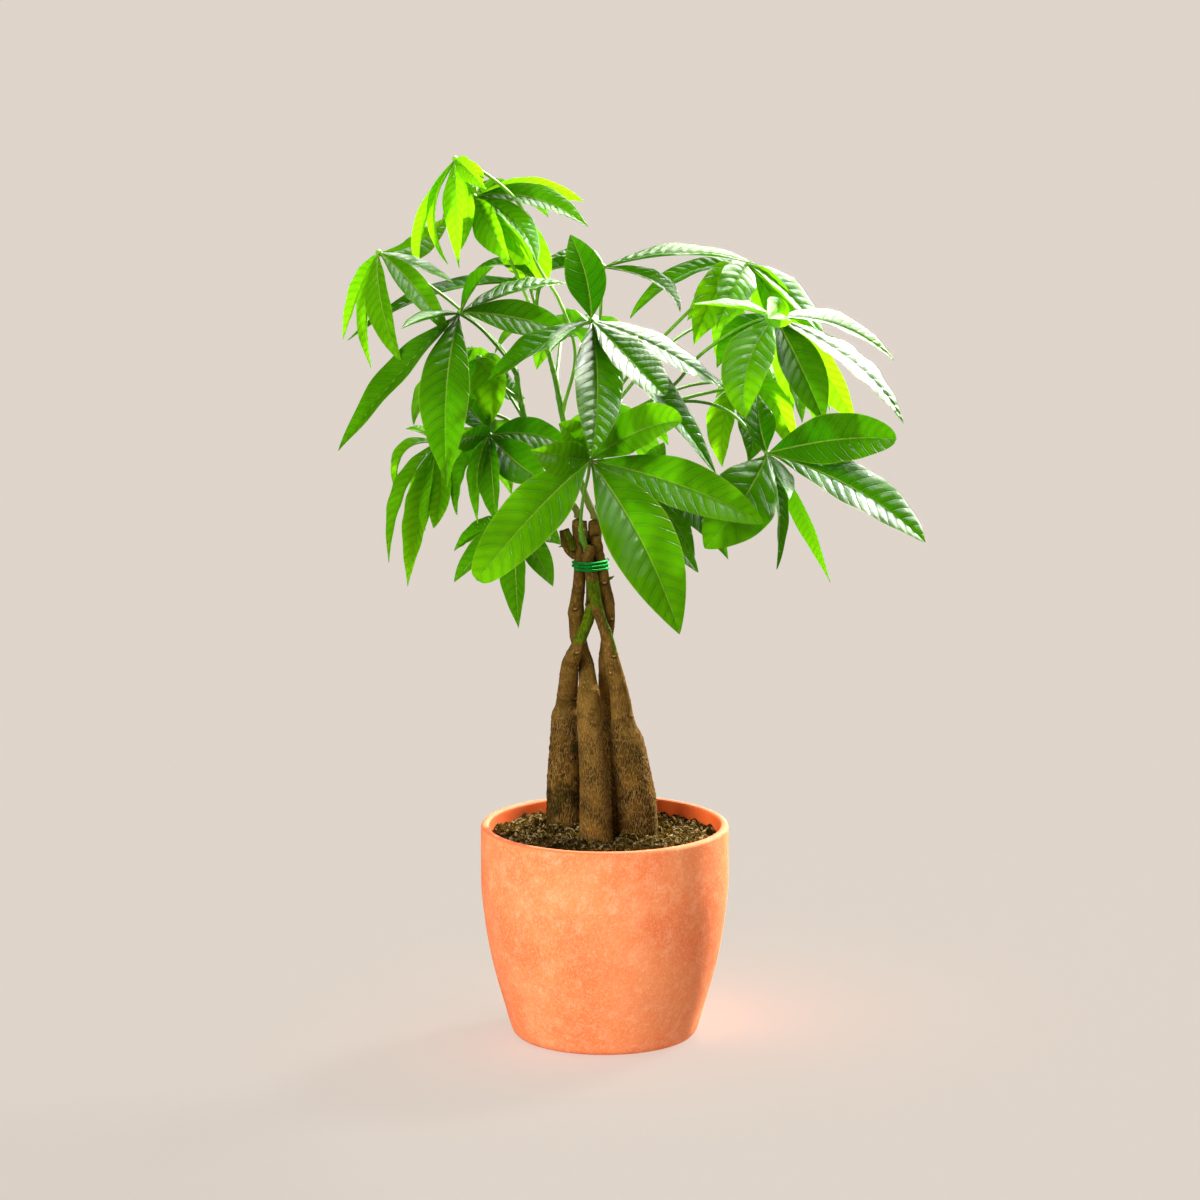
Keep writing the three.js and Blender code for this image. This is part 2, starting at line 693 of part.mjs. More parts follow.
function bladeSolid(hub, leaflet, facing) {
  const [middlePoint, tipPoint, width, turn] = leaflet;
  const middle = vector(middlePoint);
  const tip = vector(tipPoint);
  const radians = signedTurn(ribTangent(hub, middle, tip, 0.5), facing, turn, Math.sign(middle.x));
  const rings = BLADE_STATIONS.map(([share, wide]) => {
    const rib = ribPoint(hub, middle, tip, share);
    const tangent = ribTangent(hub, middle, tip, share);
    const normal = upperSide(tangent, facing, radians);
    const side = new THREE.Vector3().crossVectors(normal, tangent);
    const half = (wide * width) / 2;
    const thick = BLADE_THICKNESS / 2;
    const lift = half * BLADE_FOLD * 2;
    const edge = (direction) => rib.clone()
      .addScaledVector(side, direction * half)
      .addScaledVector(normal, lift);
    return [
      edge(1),
      rib.clone().addScaledVector(normal, thick),
      edge(-1),
      rib.clone().addScaledVector(normal, -thick),
    ];
  });
  return solidOf(loft(rings, rings[0][1].clone().add(rings[0][3]).multiplyScalar(0.5), tip));
}

function stalkSolid(points, radius) {
  const curve = new THREE.CatmullRomCurve3(points, false, 'centripetal');
  const steps = Math.max(3, Math.ceil(curve.getLength() / STALK_STEP));
  const path = curve.getSpacedPoints(steps);
  return solidOf(tube(path, path.map(() => radius), STALK_SIDES, BESIDE_STALKS));
}

function hubSolid(hub) {
  const ball = new THREE.OctahedronGeometry(HUB_RADIUS, 0);
  ball.translate(hub.x, hub.y, hub.z);
  return solidOf(ball);
}

// Leaflets spread round a hub, as a list like those of the other leaves.
function spreadLeaflets({ hub, count, reach, width, facing }) {
  const middle = vector(hub);
  const axis = vector(facing).normalize();
  const side = new THREE.Vector3(0, 0, 1).cross(axis).normalize();
  const down = new THREE.Vector3().crossVectors(side, axis).normalize();
  const leaflets = [];
  for (let k = 0; k < count; k += 1) {
    const angle = (2 * Math.PI * (k + 0.5)) / count;
    const uneven = Math.sin(k * UNEVEN_STEP + hub[0]);
    const length = reach * (1 - UNEVEN_LENGTH * (1 - uneven)) * (1 - TOP_SHORTER * (1 - Math.cos(angle)));
    const out = down.clone().multiplyScalar(Math.cos(angle)).addScaledVector(side, Math.sin(angle));
    const along = (outShare, axisShare) => middle.clone()
      .addScaledVector(out, length * outShare)
      .addScaledVector(axis, length * axisShare);
    const tip = along(SPREAD_TIP, -SPREAD_FALL);
    tip.z -= length * SPREAD_DROOP;
    const via = along(SPREAD_MIDDLE, SPREAD_RISE);
    const leafletWidth = width * (1 - UNEVEN_WIDTH * (1 - uneven));
    leaflets.push([via.toArray(), tip.toArray(), leafletWidth, UNEVEN_TURN * uneven]);
  }
  return leaflets;
}

function leafSolids(hubPoint, stalkPoints, leaflets, facing) {
  const hub = vector(hubPoint);
  const solids = [hubSolid(hub), stalkSolid([...stalkPoints.map(vector), hub], LEAF_STALK_RADIUS)];
  for (const leaflet of leaflets) {
    solids.push(bladeSolid(hub, leaflet, facing));
  }
  return solids;
}

function leafyStem({ stem, leaves, spread }) {
  const radii = stem.map((station) => station[3]);
  const solids = [solidOf(tube(stem.map(vector), radii, STEM_SIDES, BESIDE_STALKS))];
  for (const leaf of Object.values(leaves)) {
    solids.push(...leafSolids(leaf.hub, leaf.stalk, leaf.leaflets, vector(FRONT).normalize()));
  }
  for (const leaf of spread) {
    const base = vector(leaf.from);
    const hub = vector(leaf.hub);
    const bend = base.clone().lerp(hub, 0.5);
    bend.z += SPREAD_STALK_RISE;
    const facing = vector(leaf.facing).normalize();
    solids.push(...leafSolids(leaf.hub, [leaf.from, bend.toArray()], spreadLeaflets(leaf), facing));
  }
  return wasm.Manifold.union(solids);
}

addMesh('pot', makePot(), POT_COLOR, POT_ROUGHNESS);

let soil = soilSolid();
for (const [name, trunk] of Object.entries(TRUNKS)) {
  const geometry = trunkGeometry(trunk.stations, 0);
  addMesh(name, geometry, trunk.color, BARK_ROUGHNESS);
  soil = soil.subtract(solidOf(trunkGeometry(trunk.stations, HOLE_GAP)));
}
addMesh('soil', geometryOf(soil), SOIL_COLOR, SOIL_ROUGHNESS);
addMesh('wire_tie', makeTie(), TIE_COLOR, TIE_ROUGHNESS, TIE_METALNESS);

Object.entries(STEMS).forEach(([name, stem], i) => {
  addMesh(name, geometryOf(leafyStem(stem)), LEAF_COLORS[i], LEAF_ROUGHNESS);
});

export default group;
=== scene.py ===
# Potted money tree: four bound trunks in a terracotta-coloured pot, with their leafy stems.
# Sizes are in millimetres, as in the frame's source, and become metres where a mesh is made.
# +Z is up, the origin is at the middle of the pot's underside, and the front looks toward -Y.
import itertools
import math

import bpy
import numpy as np
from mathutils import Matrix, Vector, noise


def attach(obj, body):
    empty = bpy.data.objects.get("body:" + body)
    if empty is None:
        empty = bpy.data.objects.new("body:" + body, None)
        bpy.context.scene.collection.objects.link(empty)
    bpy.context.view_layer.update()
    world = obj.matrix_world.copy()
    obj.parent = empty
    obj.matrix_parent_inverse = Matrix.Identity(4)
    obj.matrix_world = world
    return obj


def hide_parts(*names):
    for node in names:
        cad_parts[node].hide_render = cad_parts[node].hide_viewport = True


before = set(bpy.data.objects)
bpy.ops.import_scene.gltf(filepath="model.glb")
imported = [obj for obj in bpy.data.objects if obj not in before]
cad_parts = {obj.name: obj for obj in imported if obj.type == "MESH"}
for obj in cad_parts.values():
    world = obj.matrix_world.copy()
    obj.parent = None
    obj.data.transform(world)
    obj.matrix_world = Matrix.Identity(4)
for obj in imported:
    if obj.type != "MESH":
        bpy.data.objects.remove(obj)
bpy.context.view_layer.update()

MM = 0.001
SEED = 7

# Camera: the photograph's distance, height, dip and focal length
CAMERA_PLACE = (-3.25, -3042, 889.6)
CAMERA_DIP = 10.9
FOCAL_PIXELS = 4558
FRAME_PIXELS = 1200
SENSOR = 36

# Light: angles in degrees, strengths as Blender has them
SUN_AZIMUTH = 45
SUN_HEIGHT = 40
SUN_COLOR = (1.0, 0.96, 0.88)
CLEAR_SUN = 11.0
CLEAR_SUN_ANGLE = 4
FLOOR_SUN = 0.5
FLOOR_SUN_ANGLE = 12
SUN_DISTANCE = 4000
AIM_HEIGHT = 296
# The bright patch round the sun that only gloss shows: its strength, and how far from the sun it is full
# and where it ends
GLEAM = 26.0
GLEAM_FULL = 34
GLEAM_EDGE = 41
FILL_PLACE = (-2200, -3200, 2300)
FILL_SIZE = 2600
FILL_POWER = 250
FILL_COLOR = (1.0, 0.99, 0.97)
WORLD_COLOR = (1.0, 0.97, 0.94)
WORLD_STRENGTH = 0.32
# The floor: its side, its colour, how much of the light it sends back, and how much it glows
FLOOR_SIDE = 40000
FLOOR_COLOR = (0.74, 0.67, 0.61)
FLOOR_SHARE = 0.65
FLOOR_GLOW = 0.72

# Pot: POT_FOOT is its outside below the upright collar, as radius and height
POT_RADIUS = 85
POT_HEIGHT = 148
WALL = 5.6
RIM_ROUND = 2.4
RIM_INNER_ROUND = 2.0
FLOOR_THICKNESS = 8
POT_FOOT = ((58, 0), (61.5, 1), (64, 4), (69.2, 21.6), (74.1, 38.7), (78.3, 56), (81.4, 73), (83.6, 90))
COLLAR_FROM = 106
POT_SIDES = 180
POT_ROWS = 90
POT_UNEVEN = 0.22
POT_WAVES = 0.02
BASIN_HEIGHT = 16
BASIN_INSET = 6
FLAT_RADIUS = 20
LIP_FROM = 1.6
LIP_FULL = 0.5

# Soil: its bumps are waves in radians a millimetre, its clumps and crumbs noise in waves a millimetre
SOIL_TOP = 138
SOIL_GAP = 0.3
EDGE_GAP = 0.15
SOIL_FOOT = 16
SOIL_WAIST = 70
SOIL_CORE = 40
# How far the soil's underside, foot and waist stay inside the pot's wall or the soil's edge
BOTTOM_INSET = 7
FOOT_INSET = 1
WAIST_INSET = 6
SOIL_INNER_RING = 0.8
SOIL_BUMP = 1.5
BUMP_ALONG = (0.31, 0.13)
BUMP_ACROSS = (-0.11, 0.27)
SMALL_BUMP = (0.53, -0.41)
SMALL_BUMP_SHARE = 0.6
SOIL_MOUND = 3.5
MOUND_PLACE = (-25, 20)
MOUND_REACH = 47
SOIL_SIDES = 230
SOIL_RINGS = 84
CLUMP_WAVES = 0.13
CLUMP_HEIGHT = 1.7
CRUMB_WAVES = 0.42
CRUMB_HEIGHT = 1.3
CRUMB_SHIFT = 40
CHIP_COUNT = 2400
CHIP_REACH = 77.5
CHIP_SIZE = 0.4
CHIP_LARGER = 1.2
CHIP_SHAPE = (1.3, 1, 0.55)
CHIP_UNEVEN = 0.5
CHIP_LIFT = 0.25
CHIP_CLEAR = 0.5
FIBRE_COUNT = 320
FIBRE_REACH = 72
FIBRE_EDGE = 77
FIBRE_LENGTH = 5
FIBRE_LONGER = 11
FIBRE_BEND = 2.2
FIBRE_POINTS = 7
FIBRE_LIFT = 0.35
FIBRE_RISE = 1.4
FIBRE_RADIUS = 0.12
FIBRE_THICKER = 0.14
FIBRE_CLEAR = 0.6
# Painted shadow on the soil: its middle, where it ends and where it is full, and how it is stretched from
# side to side
PAINTED_SHADOW_PLACE = (-8, -42)
PAINTED_SHADOW_EDGE = 58
PAINTED_SHADOW_FULL = 26
PAINTED_SHADOW_STRETCH = 0.8

# Trunks: they are netted with fine lines up to NET_FULL, and smooth and ringed above NET_TOP
TRUNK_SIDES = 80
TRUNK_WAVE = 0.035
TRUNK_TURN = 0.05
BURIED_TO = 130
BURIED_STEP = 6
TRUNK_STEP = 0.8
NET_TOP = 236
NET_FULL = 196
NET_EDGE_WAVES = 0.05
NET_EDGE_HEIGHT = 14
NET_LINES = (0.42, 0.42, 0.1)
NET_LINE_WIDTH = 0.16
NET_SHIFT = 57
NET_RELIEF = 0.42
FINE_WAVES = (0.5, 0.5, 0.2)
FINE_RELIEF = 0.12
BROAD_WAVES = (0.12, 0.12, 0.05)
BROAD_RELIEF = 0.25
TOP_ROUND = 1.5
RING_SPACING = 17
RING_HEIGHT = 0.28
RING_WIDTH = 0.8
RING_TILT = 1.6
# Leaf scars: how far their lines sag, how wide and deep they are, and where they end and are full, in half
# widths from the middle. The bark swells above a line, and a pale fleck lies there
SCAR_SAG = 0.8
SCAR_LINE = 0.7
SCAR_DEPTH = 0.5
SCAR_END = 1.15
SCAR_FULL = 0.7
SWELL_HEIGHT = 0.35
SWELL_PLACE = 1.4
SWELL_END = 2.4
SWELL_FULL = 0.8
FLECK_PLACE = 1.3
FLECK_SIZE = 0.8
FLECK_END = 0.9
FLECK_FULL = 0.5
STUB_SIDES = 18
STUB_STEP = 0.7
STUB_UNEVEN = 0.06
STUB_MOTTLE = 0.3
CUT_FROM = 0.985
# Every trunk from its buried foot to its top: x, y, z of its middle, and its radius
TRUNKS = {
    "trunk_left": (
        (-28, 30, 84, 5.5), (-28, 30, 104, 9.5), (-28.3, 30, 126, 12), (-28.5, 30, 146, 12.2),
        (-28.5, 29, 170, 11.6), (-27.8, 27, 198, 9.9), (-27.2, 26, 214, 9.4), (-26.8, 25.5, 220, 9.2),
        (-26.4, 25, 225, 7.6), (-25.2, 14, 240, 6.8), (-24, 4, 256, 6.2), (-22.9, 2, 261, 6.3),
        (-21.4, 0.5, 266, 5.6), (-16.6, -1, 277, 4.5), (-12.4, 0.5, 287, 4.2), (-9, 4, 299, 4.3),
        (-8.9, 5.4, 312, 4.0), (-9.5, 5.3, 327, 4.0), (-10.2, 8.5, 338, 4.2), (-10.6, 10, 342, 3.2),
    ),
    "trunk_front": (
        (-5.4, -12, 84, 5), (-5.4, -12, 104, 8.7), (-5.6, -12, 126, 10.6), (-6, -12, 146, 10.9),
        (-7, -10, 172, 10.1), (-9.3, -6, 205, 9.1), (-10.1, -3, 220, 8.8), (-10.8, 0, 234, 7.9),
        (-11.5, 5.4, 246, 6.1), (-12.9, 10.8, 258, 5.1), (-18, 11.6, 274, 5.3), (-19.4, 9, 288, 5.1),
        (-19.6, 7, 295, 5.6), (-19.1, 6, 300, 4.9), (-17.7, 3, 312, 4.5), (-16.9, 0.6, 327, 4.2),
        (-17.6, 0.8, 342, 3.7), (-18, 1, 352, 4.3), (-18.3, 1, 358, 3.8), (-18.3, 1, 360, 3),
    ),
    "trunk_right": (
        (21, 13, 84, 6.5), (21, 13, 104, 11.5), (21, 13, 126, 14.4), (20.6, 12.5, 146, 15.6),
        (20, 12, 164, 15.7), (17.6, 11, 186, 13.6), (15.2, 10, 203, 11.8), (13.8, 9, 210, 10.6),
        (12.6, 8.5, 216, 8.4), (10.9, 6.5, 232, 6.8), (8.2, 3.6, 247, 6), (5, 0.6, 261, 5.4),
        (1.2, -4, 280, 4.4), (-2.8, -5.7, 292, 4.1), (-6, -6.4, 304, 4.2), (-7.4, -6, 313, 4.5),
        (-10, -4.5, 327, 4.2), (-12, -5.6, 336, 3.6), (-12.6, -6, 338, 2.7),
    ),
    "trunk_back": (
        (2, 42, 84, 5), (2, 42, 104, 8.4), (2, 42, 126, 10), (2.2, 41.5, 146, 10.2), (2.2, 40, 170, 9.6),
        (1.6, 36, 203, 8.3), (1.2, 32, 218, 7.2), (0.9, 27, 232, 5.6), (0.2, 19, 250, 4.3),
        (0.6, 15, 258, 4.9), (1.6, 9, 276, 4.1), (3, 4, 290, 4.1), (2, 1.6, 304, 4.5), (-0.6, 1, 314, 4.8),
        (-2.3, 0.3, 327, 4), (-5.6, 1.4, 341, 3.8), (-6.8, 2.6, 352, 4.4), (-7.4, 3, 357, 3.7),
        (-7.4, 3, 359, 2.8),
    ),
}

# Every stem from the trunk's top upward: x, y, z of its middle, and its radius
STEMS = {
    "leafy_stem_left": (
        (-18.4, 1, 360.4, 2.6), (-18.4, 1, 363.5, 2.5), (-24, 1.5, 373, 2.3), (-37, 3, 394, 2.1),
        (-53, 5, 425, 2), (-57, 5, 441, 1.9), (-60, 5, 461, 1.7),
    ),
    "leafy_stem_top": (
        (-7.4, 3, 359.4, 2.5), (-7.4, 3, 362, 2.4), (-11.5, 4, 371, 2.3), (-22, 8, 402, 2.1),
        (-29, 10, 430, 2), (-33, 14, 451, 1.8), (-38, 18, 471, 1.6),
    ),
    "leafy_stem_right": (
        (-10.6, 10, 342.4, 2.6), (-10.6, 10, 345, 2.5), (-7, 11, 354, 2.4), (-4, 11, 370, 2.3),
        (-3, 10, 400, 2.2), (-3, 10, 426, 2),
    ),
    "leafy_stem_front": (
        (-12.6, -6, 338.4, 2.3), (-12.6, -6, 341, 2.2), (-15, -9, 347, 2.1), (-16, -14, 355, 2),
    ),
}

# The leaves that the photograph shows, by stem. Every leaf has a hub, a stalk from the stem to the hub, and
# leaflets: the middle and tip of each, its width, and how far it is turned about its length, in degrees
LEAVES = {
    "leafy_stem_left": {
        "outer_left": {
            "hub": (-151, -10, 542), "stalk": ((-60, 5, 459), (-67, 6, 472), (-97, 8, 501), (-118, 5, 518)),
            "leaflets": (
                ((-165, 10, 515), (-177, 15, 480), 20, 60), ((-159, -15, 504), (-156, -25, 466), 20, 65),
                ((-148, -40, 511), (-134, -55, 473), 24, 45), ((-126, -35, 523), (-102, -55, 491), 17, 5),
                ((-127, -14, 534), (-101, -20, 523), 18, 65), ((-128, 28, 543), (-105, 48, 561), 22, -45),
            ),
        },
        "upper_front": {
            "hub": (-96, -45, 506), "stalk": ((-60, 4, 459), (-66, -4, 470), (-82, -24, 492)),
            "leaflets": (
                ((-115, -70, 506), (-133, -95, 502), 22, 70), ((-85, -60, 526), (-73, -65, 539), 20, 60),
                ((-57, -28, 519), (-24, -20, 522), 24, 65), ((-58, -40, 502), (-18, -28, 488), 23, 5),
                ((-136, -60, 467), (-177, -55, 415), 31, 55), ((-104, -70, 457), (-104, -70, 392), 34, 10),
            ),
        },
        "inner_left": {
            "hub": (-85, 5, 469), "stalk": ((-57, 5, 440), (-68, 4, 449)),
            "leaflets": (
                ((-77, -5, 452), (-78, -10, 424), 26, 20), ((-80, 25, 451), (-72, 30, 431), 18, 50),
                ((-72, 50, 445), (-55, 75, 431), 22, 40), ((-92, 40, 446), (-98, 60, 418), 22, 40),
            ),
        },
        "middle_left": {
            "hub": (-77, -20, 420), "stalk": ((-44, 4, 407), (-60, -9, 417)),
            "leaflets": (
                ((-50, -20, 421), (-23, -20, 412), 22, 15), ((-58, -40, 405), (-37, -50, 392), 28, 5),
                ((-75, -50, 395), (-72, -60, 366), 22, 45), ((-85, -35, 399), (-85, -40, 363), 20, 55),
                ((-95, -10, 395), (-100, -5, 363), 20, 60), ((-87, 0, 431), (-95, 20, 436), 20, 5),
                ((-88, -50, 424), (-101, -75, 422), 20, -50),
            ),
        },
        "lower_left": {
            "hub": (-113, 10, 411), "stalk": ((-49, 5, 417), (-78, 12, 430), (-102, 12, 422)),
            "leaflets": (
                ((-137, 15, 403), (-141, 15, 372), 18, 65), ((-136, -8, 380), (-146, -15, 332), 22, 60),
                ((-126, 30, 375), (-138, 40, 346), 20, 55), ((-125, 10, 363), (-134, 0, 313), 26, 45),
                ((-119, -15, 375), (-121, -25, 356), 16, 65), ((-111, 0, 380), (-116, -5, 354), 20, 25),
                ((-126, 30, 415), (-136, 50, 414), 14, 60),
            ),
        },
        "low_left": {
            "hub": (-61, -10, 359), "stalk": ((-27, 2, 376), (-44, -4, 370)),
            "leaflets": (
                ((-85, 10, 349), (-103, 20, 334), 20, 55), ((-83, -5, 339), (-102, -10, 318), 20, 40),
                ((-60, -25, 329), (-58, -35, 291), 22, 35), ((-47, -10, 339), (-35, -15, 316), 18, 10),
                ((-44, -20, 356), (-29, -30, 347), 18, 10),
            ),
        },
    },
    "leafy_stem_top": {
        "top_young": {
            "hub": (-100, 5, 603),
            "stalk": (
                (-29, 10, 430), (-20, 17, 470), (-31, 22, 506), (-46, 22, 531), (-56, 18, 569),
                (-82, 10, 594),
            ),
            "leaflets": (
                ((-91, -22, 598), (-78, -50, 588), 14, -30), ((-89, 5, 596), (-82, 15, 586), 13, -30),
                ((-99, -18, 576), (-97, -25, 533), 20, 45), ((-92, 10, 572), (-97, 15, 541), 18, 45),
                ((-114, 0, 569), (-105, -3, 533), 18, 70), ((-121, 7, 560), (-124, 6, 529), 18, 60),
            ),
        },
        "top_back": {
            "hub": (-88, 30, 575), "stalk": ((-38, 18, 470), (-49, 25, 498), (-65, 30, 534), (-79, 30, 561)),
            "leaflets": (
                ((-50, 35, 583), (-14, 30, 572), 21, -50), ((-47, 15, 575), (-11, 0, 558), 20, 35),
                ((-60, 8, 561), (-45, -12, 535), 21, 45), ((-73, 25, 559), (-50, 12, 533), 20, -50),
                ((-78, 5, 559), (-63, -30, 539), 24, -35), ((-55, 36, 541), (-52, 50, 513), 34, -20),
            ),
        },
        "long_left": {
            "hub": (-44, 25, 517), "stalk": ((-46, 24, 492), (-46, 25, 505)),
            "leaflets": (
                ((-112, 34, 510), (-175, 32, 477), 28, 70), ((-66, 40, 528), (-89, 44, 523), 14, 60),
            ),
        },
    },
    "leafy_stem_right": {
        "back_high": {
            "hub": (-1, 45, 526), "stalk": ((-3, 10, 424), (-3, 24, 455), (-3, 38, 491)),
            "leaflets": (
                ((53, 45, 535), (104, 40, 528), 28, 70), ((34, 28, 518), (51, 15, 499), 20, 60),
                ((-31, 58, 524), (-69, 62, 512), 20, 60), ((-18, 62, 531), (-38, 66, 530), 20, 60),
            ),
        },
        "centre": {
            "hub": (-9, -45, 501), "stalk": ((-3, 10, 424), (-5, -14, 462), (-8, -34, 490)),
            "leaflets": (
                ((-13, -50, 531), (-23, -46, 558), 27, 5), ((-5, -85, 462), (-9, -115, 421), 33, -15),
                ((18, -75, 477), (39, -88, 457), 31, 35), ((33, -55, 456), (74, -45, 398), 26, 45),
                ((35, -38, 482), (76, -45, 457), 27, 50), ((42, -20, 471), (88, -5, 447), 22, 60),
                ((-47, -60, 483), (-80, -55, 459), 30, 58), ((-23, -85, 498), (-36, -115, 490), 22, 60),
            ),
        },
        "back_right": {
            "hub": (97, 40, 528), "stalk": ((-3, 10, 424), (12, 16, 450), (41, 25, 482), (88, 38, 524)),
            "leaflets": (
                ((75, 15, 512), (60, 8, 477), 34, -30), ((53, 45, 520), (17, 40, 491), 25, 60),
                ((88, 15, 517), (75, 0, 489), 26, -10), ((120, 55, 495), (128, 60, 411), 34, -40),
                ((124, 40, 508), (150, 30, 477), 25, 55), ((138, 40, 474), (171, 35, 421), 34, -40),
            ),
        },
        "front_right": {
            "hub": (113, -30, 501), "stalk": ((-3, 10, 422), (43, 8, 447), (65, -10, 474), (96, -24, 496)),
            "leaflets": (
                ((113, -62, 509), (106, -105, 510), 22, 0), ((90, -35, 508), (58, -45, 512), 22, 75),
                ((90, -20, 488), (75, -10, 464), 26, 50), ((95, -60, 474), (92, -82, 441), 34, -20),
                ((130, -45, 469), (145, -52, 435), 29, 12), ((166, -42, 471), (199, -40, 431), 32, 60),
                ((156, -8, 492), (195, 0, 468), 24, 60), ((124, -15, 467), (133, -5, 426), 26, 50),
            ),
        },
        "lower_right": {
            "hub": (108, -45, 412), "stalk": ((-3, 10, 418), (28, 5, 434), (59, -5, 441), (84, -24, 436)),
            "leaflets": (
                ((154, -62, 423), (192, -75, 426), 34, 10), ((167, -65, 390), (212, -75, 357), 34, 35),
                ((91, -68, 385), (66, -75, 353), 46, -10), ((103, -42, 431), (102, -30, 450), 21, 15),
                ((116, -45, 377), (115, -45, 333), 22, 65), ((132, -30, 369), (152, -25, 320), 16, -50),
                ((115, -90, 405), (120, -120, 393), 20, 55),
            ),
        },
        "inner_right": {
            "hub": (89, 30, 446), "stalk": ((-3, 10, 416), (45, 22, 436)),
            "leaflets": (
                ((81, 25, 424), (80, 20, 392), 26, -45), ((100, 20, 421), (97, 15, 396), 24, 20),
                ((112, 40, 438), (132, 50, 395), 30, -40), ((90, 55, 440), (86, 82, 420), 26, 30),
            ),
        },
        "low_right": {
            "hub": (24, -20, 385), "stalk": ((-4, 11, 372), (6, 0, 381)),
            "leaflets": (
                ((43, -15, 365), (61, -10, 336), 22, 10), ((57, -25, 374), (83, -30, 337), 24, 10),
                ((43, 10, 350), (64, 20, 319), 18, 25), ((34, -10, 400), (40, -5, 413), 18, 40),
            ),
        },
    },
    "leafy_stem_front": {
        "front": {
            "hub": (-10, -75, 412),
            "stalk": ((-16, -12, 353), (-16, -24, 366), (-14, -42, 384), (-11, -60, 400)),
            "leaflets": (
                ((51, -90, 397), (104, -100, 374), 33, 8), ((24, -105, 363), (49, -110, 302), 45, 5),
                ((-46, -95, 380), (-84, -105, 337), 38, 5), ((23, -97, 435), (50, -120, 445), 31, 25),
                ((-29, -110, 421), (-48, -135, 428), 26, -20), ((-20, -100, 431), (-30, -125, 444), 22, 10),
            ),
        },
    },
}

# The leaves at the back, by stem: the hub, where the stalk leaves the stem, how many leaflets, how far they
# reach, how wide they are, and where their upper sides face. spread_leaf places the leaflets
BACK_LEAVES = {
    "leafy_stem_left": (
        ((-98, 94, 447), (-53, 5, 425), 6, 58, 23, (-0.3, 0.55, 0.8)),
        ((-80, 94, 396), (-37, 3, 394), 6, 60, 25, (-0.2, 0.6, 0.8)),
    ),
    "leafy_stem_top": (
        ((-78, 84, 566), (-38, 18, 471), 6, 56, 22, (-0.2, 0.6, 0.8)),
        ((-26, 104, 474), (-33, 14, 451), 6, 66, 26, (0, 0.5, 0.9)),
    ),
    "leafy_stem_right": (
        ((90, 104, 490), (-3, 10, 424), 6, 62, 25, (0.2, 0.5, 0.85)),
        ((118, 98, 438), (-3, 10, 420), 6, 66, 25, (0.4, 0.5, 0.8)),
        ((8, 108, 404), (-3, 10, 400), 6, 66, 26, (0, 0.6, 0.8)),
        ((52, 84, 368), (-4, 11, 376), 5, 62, 23, (0.3, 0.6, 0.75)),
    ),
}

# How young each leaf is: 0 is deep green and old, 1 is yellow-green and new
YOUTH = {
    "outer_left": 0.65, "upper_front": 0.12, "inner_left": 0.5, "middle_left": 0.1, "lower_left": 0.6,
    "low_left": 0.22, "top_young": 0.95, "top_back": 0.75, "long_left": 0.15, "back_high": 0.3,
    "centre": 0.05, "back_right": 0.65, "front_right": 0.35, "lower_right": 0.15, "inner_right": 0.85,
    "low_right": 0.15, "front": 0.4,
}
BACK_YOUTH = 0.45
YOUNG_FROM = 0.6
# How much younger a leaflet's tip looks than its base, and how uneven the leaflets are
YOUTH_RISE = 0.42
YOUTH_UNEVEN = 0.16
YOUTH_MIDDLE = 0.4

# Leaflets that differ from their leaf, by their place in its list: how young they are, how strongly they are
# folded as a share of the usual fold, and how blunt, below 0.8, or slender their tips are
LEAFLET_YOUTH = {
    "outer_left": {3: 0.35, 4: 0.35}, "inner_left": {1: 0.1, 3: 0.1}, "top_back": {0: 0.9, 1: 0.35},
    "back_right": {1: 0.35, 3: 0.85, 4: 0.35, 5: 0.85},
    "front_right": {0: 0.8, 1: 0.6, 2: 0.15, 3: 0.5, 4: 0.15, 5: 0.1},
    "lower_right": {5: 0.35}, "inner_right": {1: 0.05, 3: 0.3},
}
LEAFLET_FOLD = {"centre": {1: 0.6, 4: 0.25}, "front_right": {5: 0.3}, "lower_right": {2: 0.4}}
LEAFLET_TIP = {
    "upper_front": {3: 0.9, 4: 0.9, 5: 1.2}, "top_back": {5: 0.35}, "centre": {0: 0.9, 1: 0.8, 2: 0.5},
    "front_right": {3: 0.8}, "lower_right": {0: 0.5, 1: 0.8, 2: 0.75, 5: 1.2},
    "front": {0: 0.75, 1: 0.9, 2: 0.4, 3: 0.6},
}

# Leaflets: rows along the rib, columns across the upper side and across the underside
LEAF_ROWS = 96
UPPER_COLUMNS = (0.05, 0.16, 0.3, 0.46, 0.62, 0.78, 0.91, 1.0)
UNDER_COLUMN = 0.55
WIDE_BLADE = 30
BLADE_THICKNESS = 0.35
BLADE_FOLD = 0.34
RIB_DEPTH = 0.9
RIB_HALF = 0.75
PETIOLULE_HALF = 0.8
RIB_TAPER = 0.7
# The narrowest and widest that the rib's column gets, as a share of half the blade
RIB_COLUMN = (0.04, 0.4)
VEIN_SPACING = 7.4
VEIN_SLANT = 0.5
VEIN_CURVE = 0.35
FIRST_VEIN = 40
# The blade swells between its side veins, at most QUILT_MOST times QUILT
QUILT = 1.35
QUILT_MOST = 1.2
QUILT_ROUND = 0.7
MARGIN_WAVE = 0.05
FOLD_ROUND = 0.15
# What differs from leaflet to leaflet: each starts at its first number and is at most its second number more
FULLEST = (0.9, 0.12)
BASE_SHAPE = (1.12, 0.2)
TIP_SHAPE = (0.78, 0.34)
SPACING_SHARE = (0.9, 0.2)
FOLD_SHARE = (0.8, 0.5)
MARGIN_WAVES = (2.5, 2.5)
TWIST_UNEVEN = 10
TWIST_MIDDLE = 0.4
RIB_SWAY = 0.02
GROOVE_DEPTH = 0.25
GROOVE_HALF = 0.6
FRONT = np.array((0, -0.98, 0.2)) / math.hypot(0.98, 0.2)
SKYWARD_LEAN = 0.35

